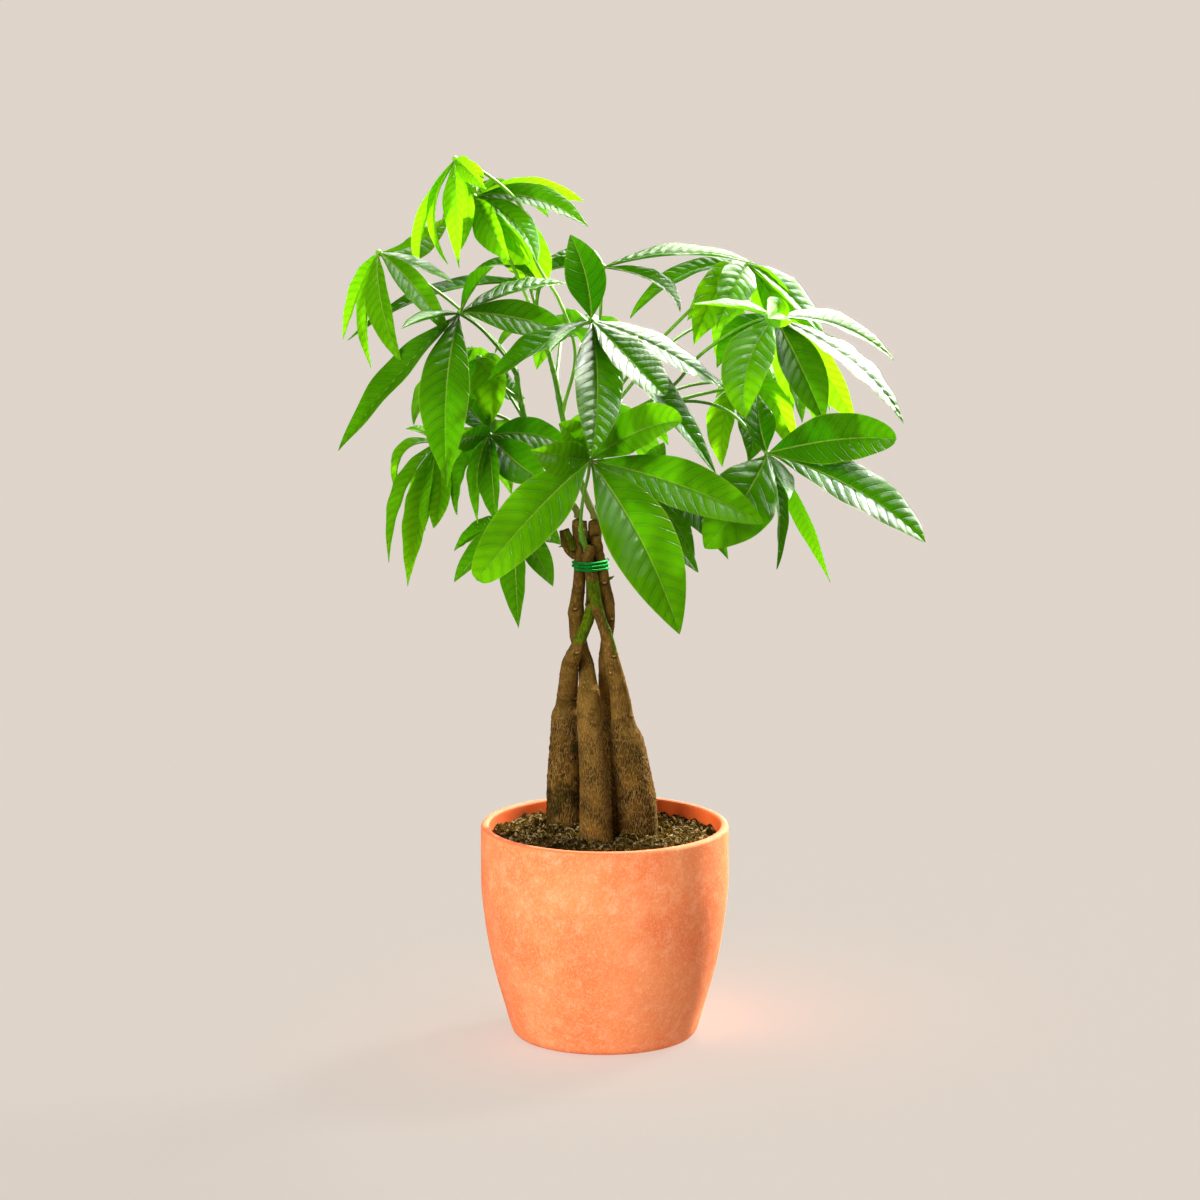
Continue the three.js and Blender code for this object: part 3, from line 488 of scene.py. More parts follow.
# Leaf stalks, which swell at both ends, and stems, which have knots
STALK_SIDES = 10
STALK_STEP = 3.0
STALK_RADIUS = 1.15
STALK_SWELL = 0.75
SWELL_LENGTH = 7
UPPER_SWELL = 0.6
HUB_RADIUS = 2.1
STEM_SIDES = 14
STEM_STEP = 1.5
STEM_UNEVEN = 0.1
STEM_YOUTH = 0.3
WOODY_TO = 0.35
KNOT_SPACING = 19
KNOT_LENGTH = 1.1
KNOT_HEIGHT = 0.35

# Leaves at the back, as in the frame's source: where their leaflets' middles and tips are, and how uneven
SPREAD_MIDDLE = 0.5
SPREAD_RISE = 0.1
SPREAD_TIP = 0.9
SPREAD_FALL = 0.08
SPREAD_DROOP = 0.2
UNEVEN_LENGTH = 0.14
TOP_SHORTER = 0.15
UNEVEN_WIDTH = 0.1
UNEVEN_TURN = 15
UNEVEN_STEP = 2.4
SPREAD_STALK_RISE = 14

# Wire tie: the heights it is wound between, in how many turns, and where it starts, in turns from +X
TIE_FROM = 325.4
TIE_TO = 331
TIE_TURNS = 2.4
TIE_START = -0.4
TIE_RADIUS = 0.4
STRAND_RADIUS = 0.6
STRAND_OFFSET = 0.45
STRAND_PITCH = 4.4
STRAND_COUNT = 3
STRAND_SIDES = 8
TIE_STEPS = 90
TIE_TAIL = (1.2, 0.5, 1)
TIE_TAIL_STEPS = 12
TIE_SMOOTHING = 4


# Curves and surfaces

# Directions that a tube never runs along: one for stalks, stems and stubs, one for what lies flat
REFERENCE = (0.1, 1, 0.05)
FLAT_REFERENCE = (0, 0.01, 1)


def smooth_curve(stations, at):
    """A smooth curve through the stations at the given places; their first column says where each is."""
    table = np.array(stations, float)
    place, value = table[:, 0], table[:, 1:]
    slope = np.empty_like(value)
    slope[1:-1] = (value[2:] - value[:-2]) / (place[2:] - place[:-2])[:, None]
    slope[0] = (value[1] - value[0]) / (place[1] - place[0])
    slope[-1] = (value[-1] - value[-2]) / (place[-1] - place[-2])
    at = np.asarray(at, float)
    i = np.clip(np.searchsorted(place, at, side="right") - 1, 0, len(place) - 2)
    span = (place[i + 1] - place[i])[:, None]
    t = (at - place[i])[:, None] / span
    return ((2 * t**3 - 3 * t**2 + 1) * value[i] + (t**3 - 2 * t**2 + t) * span * slope[i]
            + (3 * t**2 - 2 * t**3) * value[i + 1] + (t**3 - t**2) * span * slope[i + 1])


def unit(vectors):
    return vectors / np.linalg.norm(vectors, axis=-1, keepdims=True)


def smooth_step(low, high, value):
    t = np.clip((value - low) / (high - low), 0, 1)
    return t * t * (3 - 2 * t)


def knot_curve(points, step):
    """Points a step apart on the centripetal curve through the given points."""
    knots = np.array(points, float)
    knots = np.vstack((2 * knots[0] - knots[1], knots, 2 * knots[-1] - knots[-2]))
    made = []
    for k in range(1, len(knots) - 2):
        p0, p1, p2, p3 = knots[k - 1:k + 3]
        d0, d1, d2 = (np.linalg.norm(b - a) ** 0.5 for a, b in ((p0, p1), (p1, p2), (p2, p3)))
        m1 = ((p1 - p0) / d0 - (p2 - p0) / (d0 + d1) + (p2 - p1) / d1) * d1
        m2 = ((p2 - p1) / d1 - (p3 - p1) / (d1 + d2) + (p3 - p2) / d2) * d1
        count = max(2, int(np.linalg.norm(p2 - p1) / step))
        t = (np.arange(count) / count)[:, None]
        made.append((2 * t**3 - 3 * t**2 + 1) * p1 + (t**3 - 2 * t**2 + t) * m1
                    + (3 * t**2 - 2 * t**3) * p2 + (t**3 - t**2) * m2)
    return np.vstack(made + [knots[-2:-1]])


def run_along(path):
    """How far along a path each of its points is."""
    return np.append(0, np.cumsum(np.linalg.norm(np.diff(path, axis=0), axis=1)))


def noise_field(points, scale, octaves=1):
    """Smooth noise from about -1 to 1 at points in millimetres, with scale in waves a millimetre."""
    return np.array([noise.fractal(Vector(p), 1.0, 2.0, octaves) for p in points * np.array(scale)])


class Shape:
    """Closed surfaces of one mesh, with a material number for each face and named values at its points."""

    def __init__(self):
        self.points, self.faces, self.slots, self.values = [], [], [], []
        self.count = 0

    def add(self, points, faces, slots=0, **values):
        self.points.append(points)
        self.values.append((len(points), values))
        slots = np.broadcast_to(slots, sum(len(group) for group in faces))
        for group in faces:
            self.faces.append(group + self.count)
            self.slots.append(slots[:len(group)])
            slots = slots[len(group):]
        self.count += len(points)

    def object(self, name, materials, sharp=50):
        points = np.concatenate(self.points) * MM
        sizes = np.concatenate([np.full(len(group), group.shape[1]) for group in self.faces])
        mesh = bpy.data.meshes.new(name)
        mesh.vertices.add(len(points))
        mesh.vertices.foreach_set("co", points.ravel())
        mesh.loops.add(int(sizes.sum()))
        mesh.loops.foreach_set("vertex_index", np.concatenate([group.ravel() for group in self.faces]))
        mesh.polygons.add(len(sizes))
        mesh.polygons.foreach_set("loop_start", np.concatenate(([0], np.cumsum(sizes)[:-1])))
        mesh.polygons.foreach_set("material_index", np.concatenate(self.slots))
        mesh.update(calc_edges=True)
        for key in {key for _, values in self.values for key in values}:
            column = [np.broadcast_to(values.get(key, 0.0), size) for size, values in self.values]
            data = mesh.attributes.new(key, "FLOAT", "POINT").data
            data.foreach_set("value", np.concatenate(column).astype(np.float32))
        mesh.polygons.foreach_set("use_smooth", np.ones(len(sizes), bool))
        mesh.set_sharp_from_angle(angle=math.radians(sharp))
        for material in materials:
            mesh.materials.append(material)
        made = bpy.data.objects.new(name, mesh)
        bpy.context.scene.collection.objects.link(made)
        plant.objects.link(made)
        return made


def loft(rings, start=None, end=None):
    """Points and faces of rings of equally many points, closed by a fan at each end."""
    count, sides = rings.shape[:2]
    start = rings[0].mean(axis=0) if start is None else start
    end = rings[-1].mean(axis=0) if end is None else end
    points = np.vstack((rings.reshape(-1, 3), start, end))
    a = np.arange((count - 1) * sides).reshape(count - 1, sides)
    b = np.roll(a, -1, axis=1)
    quads = np.stack((a, b, b + sides, a + sides), axis=-1).reshape(-1, 4)
    ring = np.arange(sides)
    after = np.roll(ring, -1)
    last = (count - 1) * sides
    first_fan = np.stack((np.full(sides, count * sides), after, ring), axis=-1)
    last_fan = np.stack((np.full(sides, count * sides + 1), last + ring, last + after), axis=-1)
    return points, [quads, first_fan, last_fan]


def per_ring(values, sides, ends=(0, 1)):
    """One value for each ring of a loft, made into one for each of its points and its two ends."""
    return np.append(np.repeat(values, sides), ends)


def tube(path, radii, sides, reference=REFERENCE):
    """Points and faces of a round tube along a path."""
    tangent = unit(np.gradient(path, axis=0))
    side = unit(np.cross(reference, tangent))
    up = np.cross(tangent, side)
    angle = np.arange(sides) * 2 * math.pi / sides
    out = side[:, None] * np.cos(angle)[None, :, None] + up[:, None] * np.sin(angle)[None, :, None]
    return loft(path[:, None] + out * np.asarray(radii)[:, None, None])


def place(made, slot, node=None):
    """The piece moves with the plant and stands for a node of the frame. Its slot is not used."""
    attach(made, "root")
    if node:
        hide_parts(node)


# Materials

def color(code):
    """A colour in linear light from its sRGB code."""
    channels = ((code >> shift & 255) / 255 for shift in (16, 8, 0))
    return (*(c / 12.92 if c < 0.04045 else ((c + 0.055) / 1.055) ** 2.4 for c in channels), 1.0)


class Nodes:
    """The nodes of a material or world: each call makes one node, joins its inputs and gives its output."""

    def __init__(self, owner):
        self.owner = bpy.data.materials.new(owner) if isinstance(owner, str) else owner
        self.owner.use_nodes = True
        self.tree = self.owner.node_tree
        self.tree.nodes.clear()

    def add(self, kind, inputs, output=0, **settings):
        made = self.tree.nodes.new("ShaderNode" + kind)
        for key, value in settings.items():
            setattr(made, key, value)
        for key, value in inputs.items():
            if isinstance(value, bpy.types.NodeSocket):
                self.tree.links.new(value, made.inputs[key])
            else:
                made.inputs[key].default_value = value
        return made.outputs[output]

    def mix(self, share, first, second):
        return self.add("Mix", {0: share, 6: first, 7: second}, 2, data_type="RGBA")

    def math(self, operation, first, second=0.0):
        return self.add("Math", {0: first, 1: second}, operation=operation)

    def times(self, first, second):
        return self.math("MULTIPLY", first, second)

    def paint(self, base, code, share, strength=None):
        """A colour laid over the base by a share, which a strength can weaken."""
        share = share if strength is None else self.times(share, strength)
        return self.mix(share, base, color(code))

    def step(self, value, low, high, to_low=0.0, to_high=1.0):
        inputs = {"Value": value, "From Min": low, "From Max": high, "To Min": to_low, "To Max": to_high}
        return self.add("MapRange", inputs, interpolation_type="SMOOTHSTEP")

    def places(self, stretch=(1, 1, 1)):
        where = self.add("TexCoord", {}, 3)
        return self.add("Mapping", {"Vector": where, "Scale": stretch})

    def noise(self, where, scale, detail=4.0, roughness=0.55):
        inputs = {"Vector": where, "Scale": scale, "Detail": detail, "Roughness": roughness}
        return self.add("TexNoise", inputs)

    def cells(self, where, scale, feature="F1", output=0):
        return self.add("TexVoronoi", {"Vector": where, "Scale": scale}, output, feature=feature)

    def attribute(self, name):
        return self.add("Attribute", {}, 2, attribute_name=name)

    def bump(self, height, strength, distance, normal=None):
        inputs = {"Height": height, "Strength": strength, "Distance": distance * MM}
        if normal:
            inputs["Normal"] = normal
        return self.add("Bump", inputs)

    def skin(self, base, roughness, normal, specular=0.5, metallic=0.0):
        inputs = {"Base Color": base, "Roughness": roughness, "Metallic": metallic, "Normal": normal}
        return self.add("BsdfPrincipled", {**inputs, "Specular IOR Level": specular})

    def finish(self, shader, kind="Material"):
        end = self.tree.nodes.new("ShaderNodeOutput" + kind)
        self.tree.links.new(shader, end.inputs["Surface"])
        return self.owner


def pot_material():
    n = Nodes("limewashed terracotta")
    where = n.places()
    strokes = n.places((1, 1, 0.5))
    clouds = n.noise(where, 17, 4, 0.6)
    patches = n.noise(where, 95, 8, 0.8)
    grain = n.noise(strokes, 900, 5, 0.7)
    scratches = n.noise(n.places((0.3, 0.3, 1)), 1000, 4, 0.6)
    base = n.mix(n.step(clouds, 0.36, 0.66), color(0xEC7A44), color(0xF28E56))
    base = n.paint(base, 0xFFB688, n.step(patches, 0.46, 0.7), 0.5)
    base = n.paint(base, 0xFFD0B0, n.step(scratches, 0.54, 0.68), 0.2)
    base = n.paint(base, 0xFFCBA8, n.step(grain, 0.5, 0.62), 0.24)
    base = n.paint(base, 0xE46E3C, n.step(grain, 0.46, 0.34), 0.22)
    # Inner wall in a plain deeper orange: bare clay without the limewash, darkened further by painted shade
    base = n.paint(base, 0xEC6830, n.attribute("inside"))
    base = n.paint(base, 0xE27248, n.attribute("lip"))
    bump = n.bump(n.noise(where, 420, 5, 0.65), 0.35, 0.25)
    bump = n.bump(n.noise(where, 2200, 2), 0.25, 0.1, bump)
    return n.finish(n.skin(base, n.step(patches, 0.3, 0.8, 0.75, 0.6), bump, 0.2))


def soil_material():
    n = Nodes("potting soil")
    where = n.places()
    crumbs = n.noise(where, 330, 5, 0.7)
    specks = n.cells(where, 900)
    base = n.mix(n.step(crumbs, 0.35, 0.7), color(0x181004), color(0x584214))
    base = n.paint(base, 0xC0A468, n.step(specks, 0.28, 0.12), n.step(crumbs, 0.45, 0.65))
    # Painted shadow: the soil darkened between the trunks and in front of them
    base = n.paint(base, 0x1A1206, n.attribute("damp"), 0.7)
    return n.finish(n.skin(base, 0.97, n.bump(n.noise(where, 900, 6, 0.75), 0.9, 0.8), 0.0))


def crumb_material(name, dark, light):
    """Chips and fibres of the soil, each with a shade of its own."""
    n = Nodes(name)
    where = n.places()
    base = n.mix(n.attribute("shade"), color(dark), color(light))
    base = n.paint(base, 0x2B1F12, n.step(n.noise(where, 1500, 3), 0.4, 0.75))
    # Painted shadow: chips and fibres darkened between the trunks and in front of them
    base = n.paint(base, 0x221808, n.attribute("damp"), 0.6)
    return n.finish(n.skin(base, 0.92, n.bump(n.noise(where, 2500, 3), 0.5, 0.2), 0.0))


def bark_material():
    n = Nodes("bark")
    where = n.places()
    along = n.places((1, 1, 0.2))
    net = n.attribute("net")
    blotches = n.noise(where, 90, 5, 0.65)
    fibres = n.noise(along, 1100, 5, 0.7)
    lines = n.add("TexVoronoi", {"Vector": along, "Scale": 900}, feature="DISTANCE_TO_EDGE")
    smooth = n.mix(n.step(blotches, 0.38, 0.66), color(0x523C16), color(0x745624))
    smooth = n.paint(smooth, 0xAE8E56, n.step(fibres, 0.5, 0.72), 0.55)
    rough = n.mix(n.step(blotches, 0.36, 0.62), color(0x221606), color(0x583C12))
    rough = n.paint(rough, 0x947440, n.step(lines, 0.16, 0.02), 0.8)
    rough = n.paint(rough, 0xA88650, n.step(fibres, 0.56, 0.74), 0.7)
    base = n.mix(net, smooth, rough)
    mottle = n.attribute("mottle")
    dark = n.step(n.noise(where, 42, 3, 0.6), 0.47, 0.6)
    lichen = n.step(n.noise(where, 105, 2, 0.5), 0.6, 0.68)
    threads = n.step(fibres, 0.6, 0.7)
    mottled = ((0x22220A, dark, 0.75), (0x9C7024, lichen, 0.5), (0xA89448, threads, 0.6))
    for code, patches, strength in mottled:
        base = n.paint(base, code, n.times(patches, mottle), strength)
    green = n.mix(n.step(fibres, 0.35, 0.7), color(0x35480A), color(0x64780E))
    base = n.mix(n.attribute("green"), base, green)
    base = n.paint(base, 0xC8A868, n.attribute("scar_rim"), 0.7)
    base = n.paint(base, 0x2C1D0D, n.attribute("scar"))
    height = n.math("ADD", fibres, n.times(n.step(lines, 0.14, 0.0), net))
    bump = n.bump(height, n.step(net, 0.0, 1.0, 0.22, 0.75), 0.7)
    return n.finish(n.skin(base, n.step(n.attribute("green"), 0.0, 1.0, 0.85, 0.5), bump, 0.02))


def leaf_material(name, under=False):
    """Leaf skin with a pale midrib and side veins, painted shade along the side veins, that lets light
    through and gleams on its upper side.
    """
    n = Nodes(name)
    where = n.places()
    youth = n.attribute("youth")
    along = n.attribute("along")
    across = n.attribute("across")
    turns = n.math("FRACT", n.attribute("vein"))
    edge = n.math("ABSOLUTE", n.math("SUBTRACT", n.times(turns, 2.0), 1.0))
    clouds = n.noise(where, 55, 4, 0.6)
    wrinkles = n.noise(where, 420, 4, 0.6)
    fine = n.cells(where, 1300, "DISTANCE_TO_EDGE")
    deep = n.mix(n.step(clouds, 0.35, 0.7), color(0x3B7E03), color(0x478A06))
    young = n.mix(n.step(clouds, 0.35, 0.7), color(0x68B204), color(0x84CF10))
    base = n.mix(youth, deep, young)
    fade = n.step(along, 1.0, 0.7, 0.4, 1.0)
    veins = n.times(n.step(edge, 0.84, 0.98), fade)
    # Painted shade: a darker green along each side vein, in the hollow between the swellings of the blade
    shade = n.times(n.step(edge, 0.35, 0.85), 0.26)
    base = n.mix(shade, base, n.mix(youth, color(0x245C02), color(0x4E9A04)))
    base = n.paint(base, 0x86C032, veins, 0.6 if under else 0.4)
    rib_width = n.step(along, 0.0, 1.0, 1.0, 0.35)
    rib = n.step(n.math("DIVIDE", across, rib_width), 0.8, 0.35)
    base = n.paint(base, 0xB9DC52, rib, 0.85)
    base = n.paint(base, 0xACCE3C, n.step(n.attribute("rim"), 0.95, 0.985), 0.6)
    spots = n.cells(where, 75)
    chosen = n.step(n.add("SeparateColor", {"Color": n.cells(where, 75, output=1)}), 0.955, 0.965)
    base = n.paint(base, 0xC9B53A, n.times(n.step(spots, 0.13, 0.06), chosen), 0.8)
    if under:
        base = n.paint(base, 0x8FBF4C, 0.25)
    height = n.math("ADD", n.times(n.step(fine, 0.0, 0.2), 0.2), n.times(wrinkles, 0.5))
    height = n.math("SUBTRACT", height, n.times(veins, 1.3))
    bump = n.bump(height, 0.6, 0.45)
    smoothest, dullest, specular = (0.5, 0.62, 0.3) if under else (0.07, 0.12, 0.8)
    skin = n.skin(base, n.step(clouds, 0.3, 0.75, smoothest, dullest), bump, specular)
    glow = n.mix(youth, (0.10, 0.40, 0.001, 1), (0.66, 1.0, 0.08, 1))
    # The light let through is dimmer at the midrib, which is thicker, and under the painted shade along the
    # side veins
    dim_glow = n.mix(youth, (0.03, 0.2, 0, 1), (0.24, 0.6, 0, 1))
    glow = n.mix(n.times(n.math("MAXIMUM", rib, shade), 0.8), glow, dim_glow)
    through = n.add("BsdfTranslucent", {"Color": glow, "Normal": bump})
    return n.finish(n.add("MixShader", {0: n.step(youth, 0.0, 1.0, 0.52, 0.7), 1: skin, 2: through}))


def stalk_material():
    n = Nodes("green stalk")
    along = n.places((1, 1, 0.2))
    streaks = n.noise(along, 700, 4, 0.6)
    base = n.mix(n.attribute("youth"), color(0x3B7412), color(0x7DBB2A))
    base = n.paint(base, 0x9BC552, n.step(streaks, 0.45, 0.75), 0.5)
    base = n.paint(base, 0x6B6A2A, n.attribute("woody"))
    return n.finish(n.skin(base, 0.42, n.bump(streaks, 0.2, 0.3)))


def tie_material():
    n = Nodes("green metallic wire")
    where = n.places()
    streaks = n.noise(where, 900, 4)
    base = n.mix(n.step(streaks, 0.35, 0.7), color(0x069A34), color(0x1EDC62))
    return n.finish(n.skin(base, 0.32, n.bump(streaks, 0.5, 0.3), metallic=0.6))


def floor_material():
    """A pale floor that glows a little, so that it looks equally bright near and far."""
    n = Nodes("pale floor")
    tint = (*FLOOR_COLOR, 1)
    base = (*(channel * FLOOR_SHARE for channel in FLOOR_COLOR), 1)
    inputs = {"Base Color": base, "Roughness": 1.0, "Emission Color": tint, "Emission Strength": FLOOR_GLOW,
              "Specular IOR Level": 0.0}
    return n.finish(n.add("BsdfPrincipled", inputs))


# Pot

def outer_radius(z):
    outline = [(height, radius) for radius, height in POT_FOOT]
    outline += [(COLLAR_FROM, POT_RADIUS), (POT_HEIGHT, POT_RADIUS)]
    return smooth_curve(outline, z)[:, 0]


def inner_radius(z):
    return outer_radius(np.atleast_1d(z)) - WALL


def quarter(middle, size, first, count=7):
    """Points of a quarter circle about a middle, from an angle in degrees, counter-clockwise."""
    angle = np.radians(np.linspace(first, first + 90, count))
    return np.column_stack((middle[0] + size * np.cos(angle), middle[1] + size * np.sin(angle)))


def make_pot():
    rise = np.linspace(1, POT_HEIGHT - RIM_ROUND, POT_ROWS)
    outside = np.column_stack((outer_radius(rise), rise))
    outside[-1, 0] = POT_RADIUS
    outer_lip = quarter((POT_RADIUS - RIM_ROUND, POT_HEIGHT - RIM_ROUND), RIM_ROUND, 0)[1:]
    inner_middle = (POT_RADIUS - WALL + RIM_INNER_ROUND, POT_HEIGHT - RIM_INNER_ROUND)
    inner_lip = quarter(inner_middle, RIM_INNER_ROUND, 90)
    fall = np.linspace(POT_HEIGHT - RIM_INNER_ROUND, BASIN_HEIGHT, POT_ROWS // 2)[1:]
    inside = np.column_stack((inner_radius(fall), fall))
    basin = ((inside[-1, 0] - BASIN_INSET, FLOOR_THICKNESS), (FLAT_RADIUS, FLOOR_THICKNESS))
    outline = np.vstack(((FLAT_RADIUS, 0), POT_FOOT[0], outside, outer_lip, inner_lip, inside, basin))
    angle = np.arange(POT_SIDES) * 2 * math.pi / POT_SIDES
    radius = outline[:, :1]
    height = np.broadcast_to(outline[:, 1:], (len(outline), POT_SIDES))
    rings = np.stack((radius * np.cos(angle), radius * np.sin(angle), height), axis=-1)
    flat = rings.reshape(-1, 3)
    uneven = noise_field(flat, POT_WAVES, 3) * POT_UNEVEN
    out = np.stack((np.cos(angle), np.sin(angle), np.zeros(POT_SIDES)), axis=-1)
    rings = rings - out[None] * np.abs(uneven).reshape(len(outline), POT_SIDES, 1)
    # Points on the inner wall, which get the deeper orange of bare clay and painted shade
    inner = np.arange(len(outline)) >= len(outline) - len(inner_lip) - len(inside) - len(basin)
    lip = smooth_step(POT_HEIGHT - LIP_FROM, POT_HEIGHT - LIP_FULL, outline[:, 1])
    shape = Shape()
    shape.add(*loft(rings), inside=per_ring(inner, POT_SIDES), lip=per_ring(lip, POT_SIDES, (0, 0)))
    place(shape.object("pot_shell", [pot_material()]), "pot", "pot")


# Soil

def soil_height(x, y):
    first, second, third = (x * wave[0] + y * wave[1] for wave in (BUMP_ALONG, BUMP_ACROSS, SMALL_BUMP))
    bumps = np.sin(first) * np.cos(second) + SMALL_BUMP_SHARE * np.sin(third)
    away = np.hypot(x - MOUND_PLACE[0], y - MOUND_PLACE[1]) / MOUND_REACH
    return SOIL_TOP + SOIL_BUMP * bumps + SOIL_MOUND * np.exp(-(away**2))


def crumbled_height(x, y):
    """The soil's height with its crumbs and hollows."""
    flat = np.column_stack((x.ravel(), y.ravel(), np.zeros(x.size)))
    clumps = noise_field(flat, CLUMP_WAVES, 2) * CLUMP_HEIGHT
    crumbs = noise_field(flat + CRUMB_SHIFT, CRUMB_WAVES, 3) * CRUMB_HEIGHT
    return soil_height(x, y) + (clumps + crumbs).reshape(x.shape)


def painted_soil_shadow(x, y):
    """Painted shadow on the soil: darker between the trunks and in front of them, where they and the leaves
    shade it.
    """
    away = np.hypot((x - PAINTED_SHADOW_PLACE[0]) * PAINTED_SHADOW_STRETCH, y - PAINTED_SHADOW_PLACE[1])
    return smooth_step(PAINTED_SHADOW_EDGE, PAINTED_SHADOW_FULL, away)


def trunk_feet():
    """The middle and radius of each trunk where it leaves the soil."""
    return [trunk_levels(stations, [SOIL_TOP])[0] for stations in TRUNKS.values()]


def icosahedron():
    """Corners, 1 from the middle, and faces of an icosahedron, whose edges are a little over 1 long."""
    golden = (1 + 5**0.5) / 2
    corners = unit(np.array([(0, a, b * golden) for a in (-1, 1) for b in (-1, 1)]))
    corners = np.vstack((corners, np.roll(corners, 1, axis=1), np.roll(corners, 2, axis=1)))
    faces = []
    for i, j, k in itertools.combinations(range(len(corners)), 3):
        a, b, c = corners[[i, j, k]]
        if max(np.linalg.norm(a - b), np.linalg.norm(b - c), np.linalg.norm(a - c)) < 1.1:
            faces.append((i, j, k) if np.dot(np.cross(b - a, c - a), a) > 0 else (i, k, j))
    return corners, np.array(faces)


def soil_place(draw, reach):
    """A place on the soil, equally likely anywhere within the reach."""
    far = reach * draw.random() ** 0.5
    angle = draw.random() * 2 * math.pi
    return far * math.cos(angle), far * math.sin(angle)


def add_chips(shape, draw):
    """Crumbs of peat and bark that lie on the soil."""
    corners, faces = icosahedron()
    feet = trunk_feet()
    for _ in range(CHIP_COUNT):
        x, y = soil_place(draw, CHIP_REACH)
        if any(math.hypot(x - fx, y - fy) < fr + CHIP_CLEAR for fx, fy, fr in feet):
            continue
        size = CHIP_SIZE + CHIP_LARGER * draw.random() ** 2.5
        turn = np.linalg.qr(draw.normal(size=(3, 3)))[0]
        turn = turn * np.sign(np.linalg.det(turn))
        uneven = 1 + CHIP_UNEVEN * (draw.random((len(corners), 1)) - 0.5)
        chip = corners * uneven * size * CHIP_SHAPE @ turn.T
        z = crumbled_height(np.array([x]), np.array([y]))[0] + size * CHIP_LIFT
        shape.add(chip + (x, y, z), [faces], 1, shade=draw.random() ** 1.5, damp=painted_soil_shadow(x, y))


def add_fibres(shape, draw):
    """Coir fibres that lie on the soil."""
    feet = trunk_feet()
    for _ in range(FIBRE_COUNT):
        x, y = soil_place(draw, FIBRE_REACH)
        heading = draw.random() * 2 * math.pi
        bend = (draw.random() - 0.5) * FIBRE_BEND
        length = FIBRE_LENGTH + FIBRE_LONGER * draw.random()
        steps = np.linspace(0, 1, FIBRE_POINTS)
        course = heading + bend * steps
        x = x + np.cumsum(np.cos(course)) * length / FIBRE_POINTS
        y = y + np.cumsum(np.sin(course)) * length / FIBRE_POINTS
        inside = np.hypot(x, y).max() < FIBRE_EDGE
        clear = all(np.hypot(x - fx, y - fy).min() > fr + FIBRE_CLEAR for fx, fy, fr in feet)
        if not (inside and clear):
            continue
        z = crumbled_height(x, y) + FIBRE_LIFT + FIBRE_RISE * draw.random() * np.sin(math.pi * steps)
        radius = (FIBRE_RADIUS + FIBRE_THICKER * draw.random()) * (1 - 0.5 * steps)
        fibre = tube(np.column_stack((x, y, z)), radius, 4, FLAT_REFERENCE)
        shape.add(*fibre, 2, shade=draw.random(), damp=painted_soil_shadow(x[0], y[0]))


def make_soil():
    draw = np.random.default_rng(SEED)
    edge = inner_radius(SOIL_TOP)[0] - EDGE_GAP
    foot = inner_radius(SOIL_FOOT)[0]
    bottom = FLOOR_THICKNESS + SOIL_GAP
    angle = np.arange(SOIL_SIDES) * 2 * math.pi / SOIL_SIDES
    out = np.column_stack((np.cos(angle), np.sin(angle)))
    below = [(SOIL_CORE, bottom), (foot - BOTTOM_INSET, bottom)]
    below += [(foot - FOOT_INSET, SOIL_FOOT), (edge - WAIST_INSET, SOIL_WAIST)]
    rings = [np.column_stack((radius * out, np.full(SOIL_SIDES, z))) for radius, z in below]
    for radius in np.linspace(edge, SOIL_INNER_RING, SOIL_RINGS):
        x, y = radius * out.T
        rings.append(np.column_stack((x, y, crumbled_height(x, y))))
    shape = Shape()
    points, faces = loft(np.array(rings))
    shape.add(points, faces, damp=painted_soil_shadow(points[:, 0], points[:, 1]))
    add_chips(shape, draw)
    add_fibres(shape, draw)
    chips = crumb_material("soil chips", 0x2E200C, 0xC0A470)
    materials = [soil_material(), chips, crumb_material("coir", 0x745A26, 0xD8C088)]
    place(shape.object("soil_surface", materials, 80), "soil", "soil")


# Trunks

def trunk_levels(stations, levels):
    """x, y and radius of a trunk at each level."""
    return smooth_curve([(z, x, y, radius) for x, y, z, radius in stations], levels)


# Green stretches of young bark by trunk: from and to what height, and the side that is green, in degrees, or
# none where it is green all round
GREENS = {"trunk_left": ((275, 299, None),), "trunk_right": ((301, 319, None), (268, 302, 0))}
GREEN_FADE = 1.2
GREEN_EDGE = 75
GREEN_FULL = 45
# Leaf scars by trunk: height, side in degrees, and half their width and height
SCARS = {
    "trunk_left": ((268, -70, 2.6, 1.4), (232, -40, 3.0, 1.8), (305, 60, 2.2, 1.3), (210, 150, 2.6, 1.6)),
    "trunk_front": ((297, -100, 2.2, 1.2), (344, -60, 2.0, 1.3), (262, 80, 2.2, 1.3)),
    "trunk_right": (
        (265.6, -62, 2.6, 1.3), (253.1, -120, 1.4, 1.0), (222, -30, 2.2, 1.2), (240, 100, 2.4, 1.4),
    ),
    "trunk_back": ((316.3, -80, 2.4, 1.4), (290, -60, 2.0, 1.1), (262, 110, 2.2, 1.3), (243, 20, 2.2, 1.3)),
}
# How strongly the lower bark of each trunk is mottled with dark and orange patches, and netted
MOTTLE = {"trunk_left": 1.0, "trunk_front": 0.35, "trunk_right": 0.4, "trunk_back": 0.5}
NETTED = {"trunk_left": 1.0, "trunk_front": 0.6, "trunk_right": 1.0, "trunk_back": 1.0}
MOTTLE_TOP = 205
MOTTLE_FADE = 12


def angle_gap(angle, middle):
    return np.abs((angle - middle + 180) % 360 - 180)


def green_share(name, z, degrees):
    """How green a trunk's bark is at each place."""
    green = np.zeros_like(z)
    for low, high, side in GREENS.get(name, ()):
        zone = smooth_step(low - GREEN_FADE, low + GREEN_FADE, z)
        zone = zone * smooth_step(high + GREEN_FADE, high - GREEN_FADE, z)
        if side is not None:
            zone = zone * smooth_step(GREEN_EDGE, GREEN_FULL, angle_gap(degrees, side))
        green = np.maximum(green, zone)
    return green


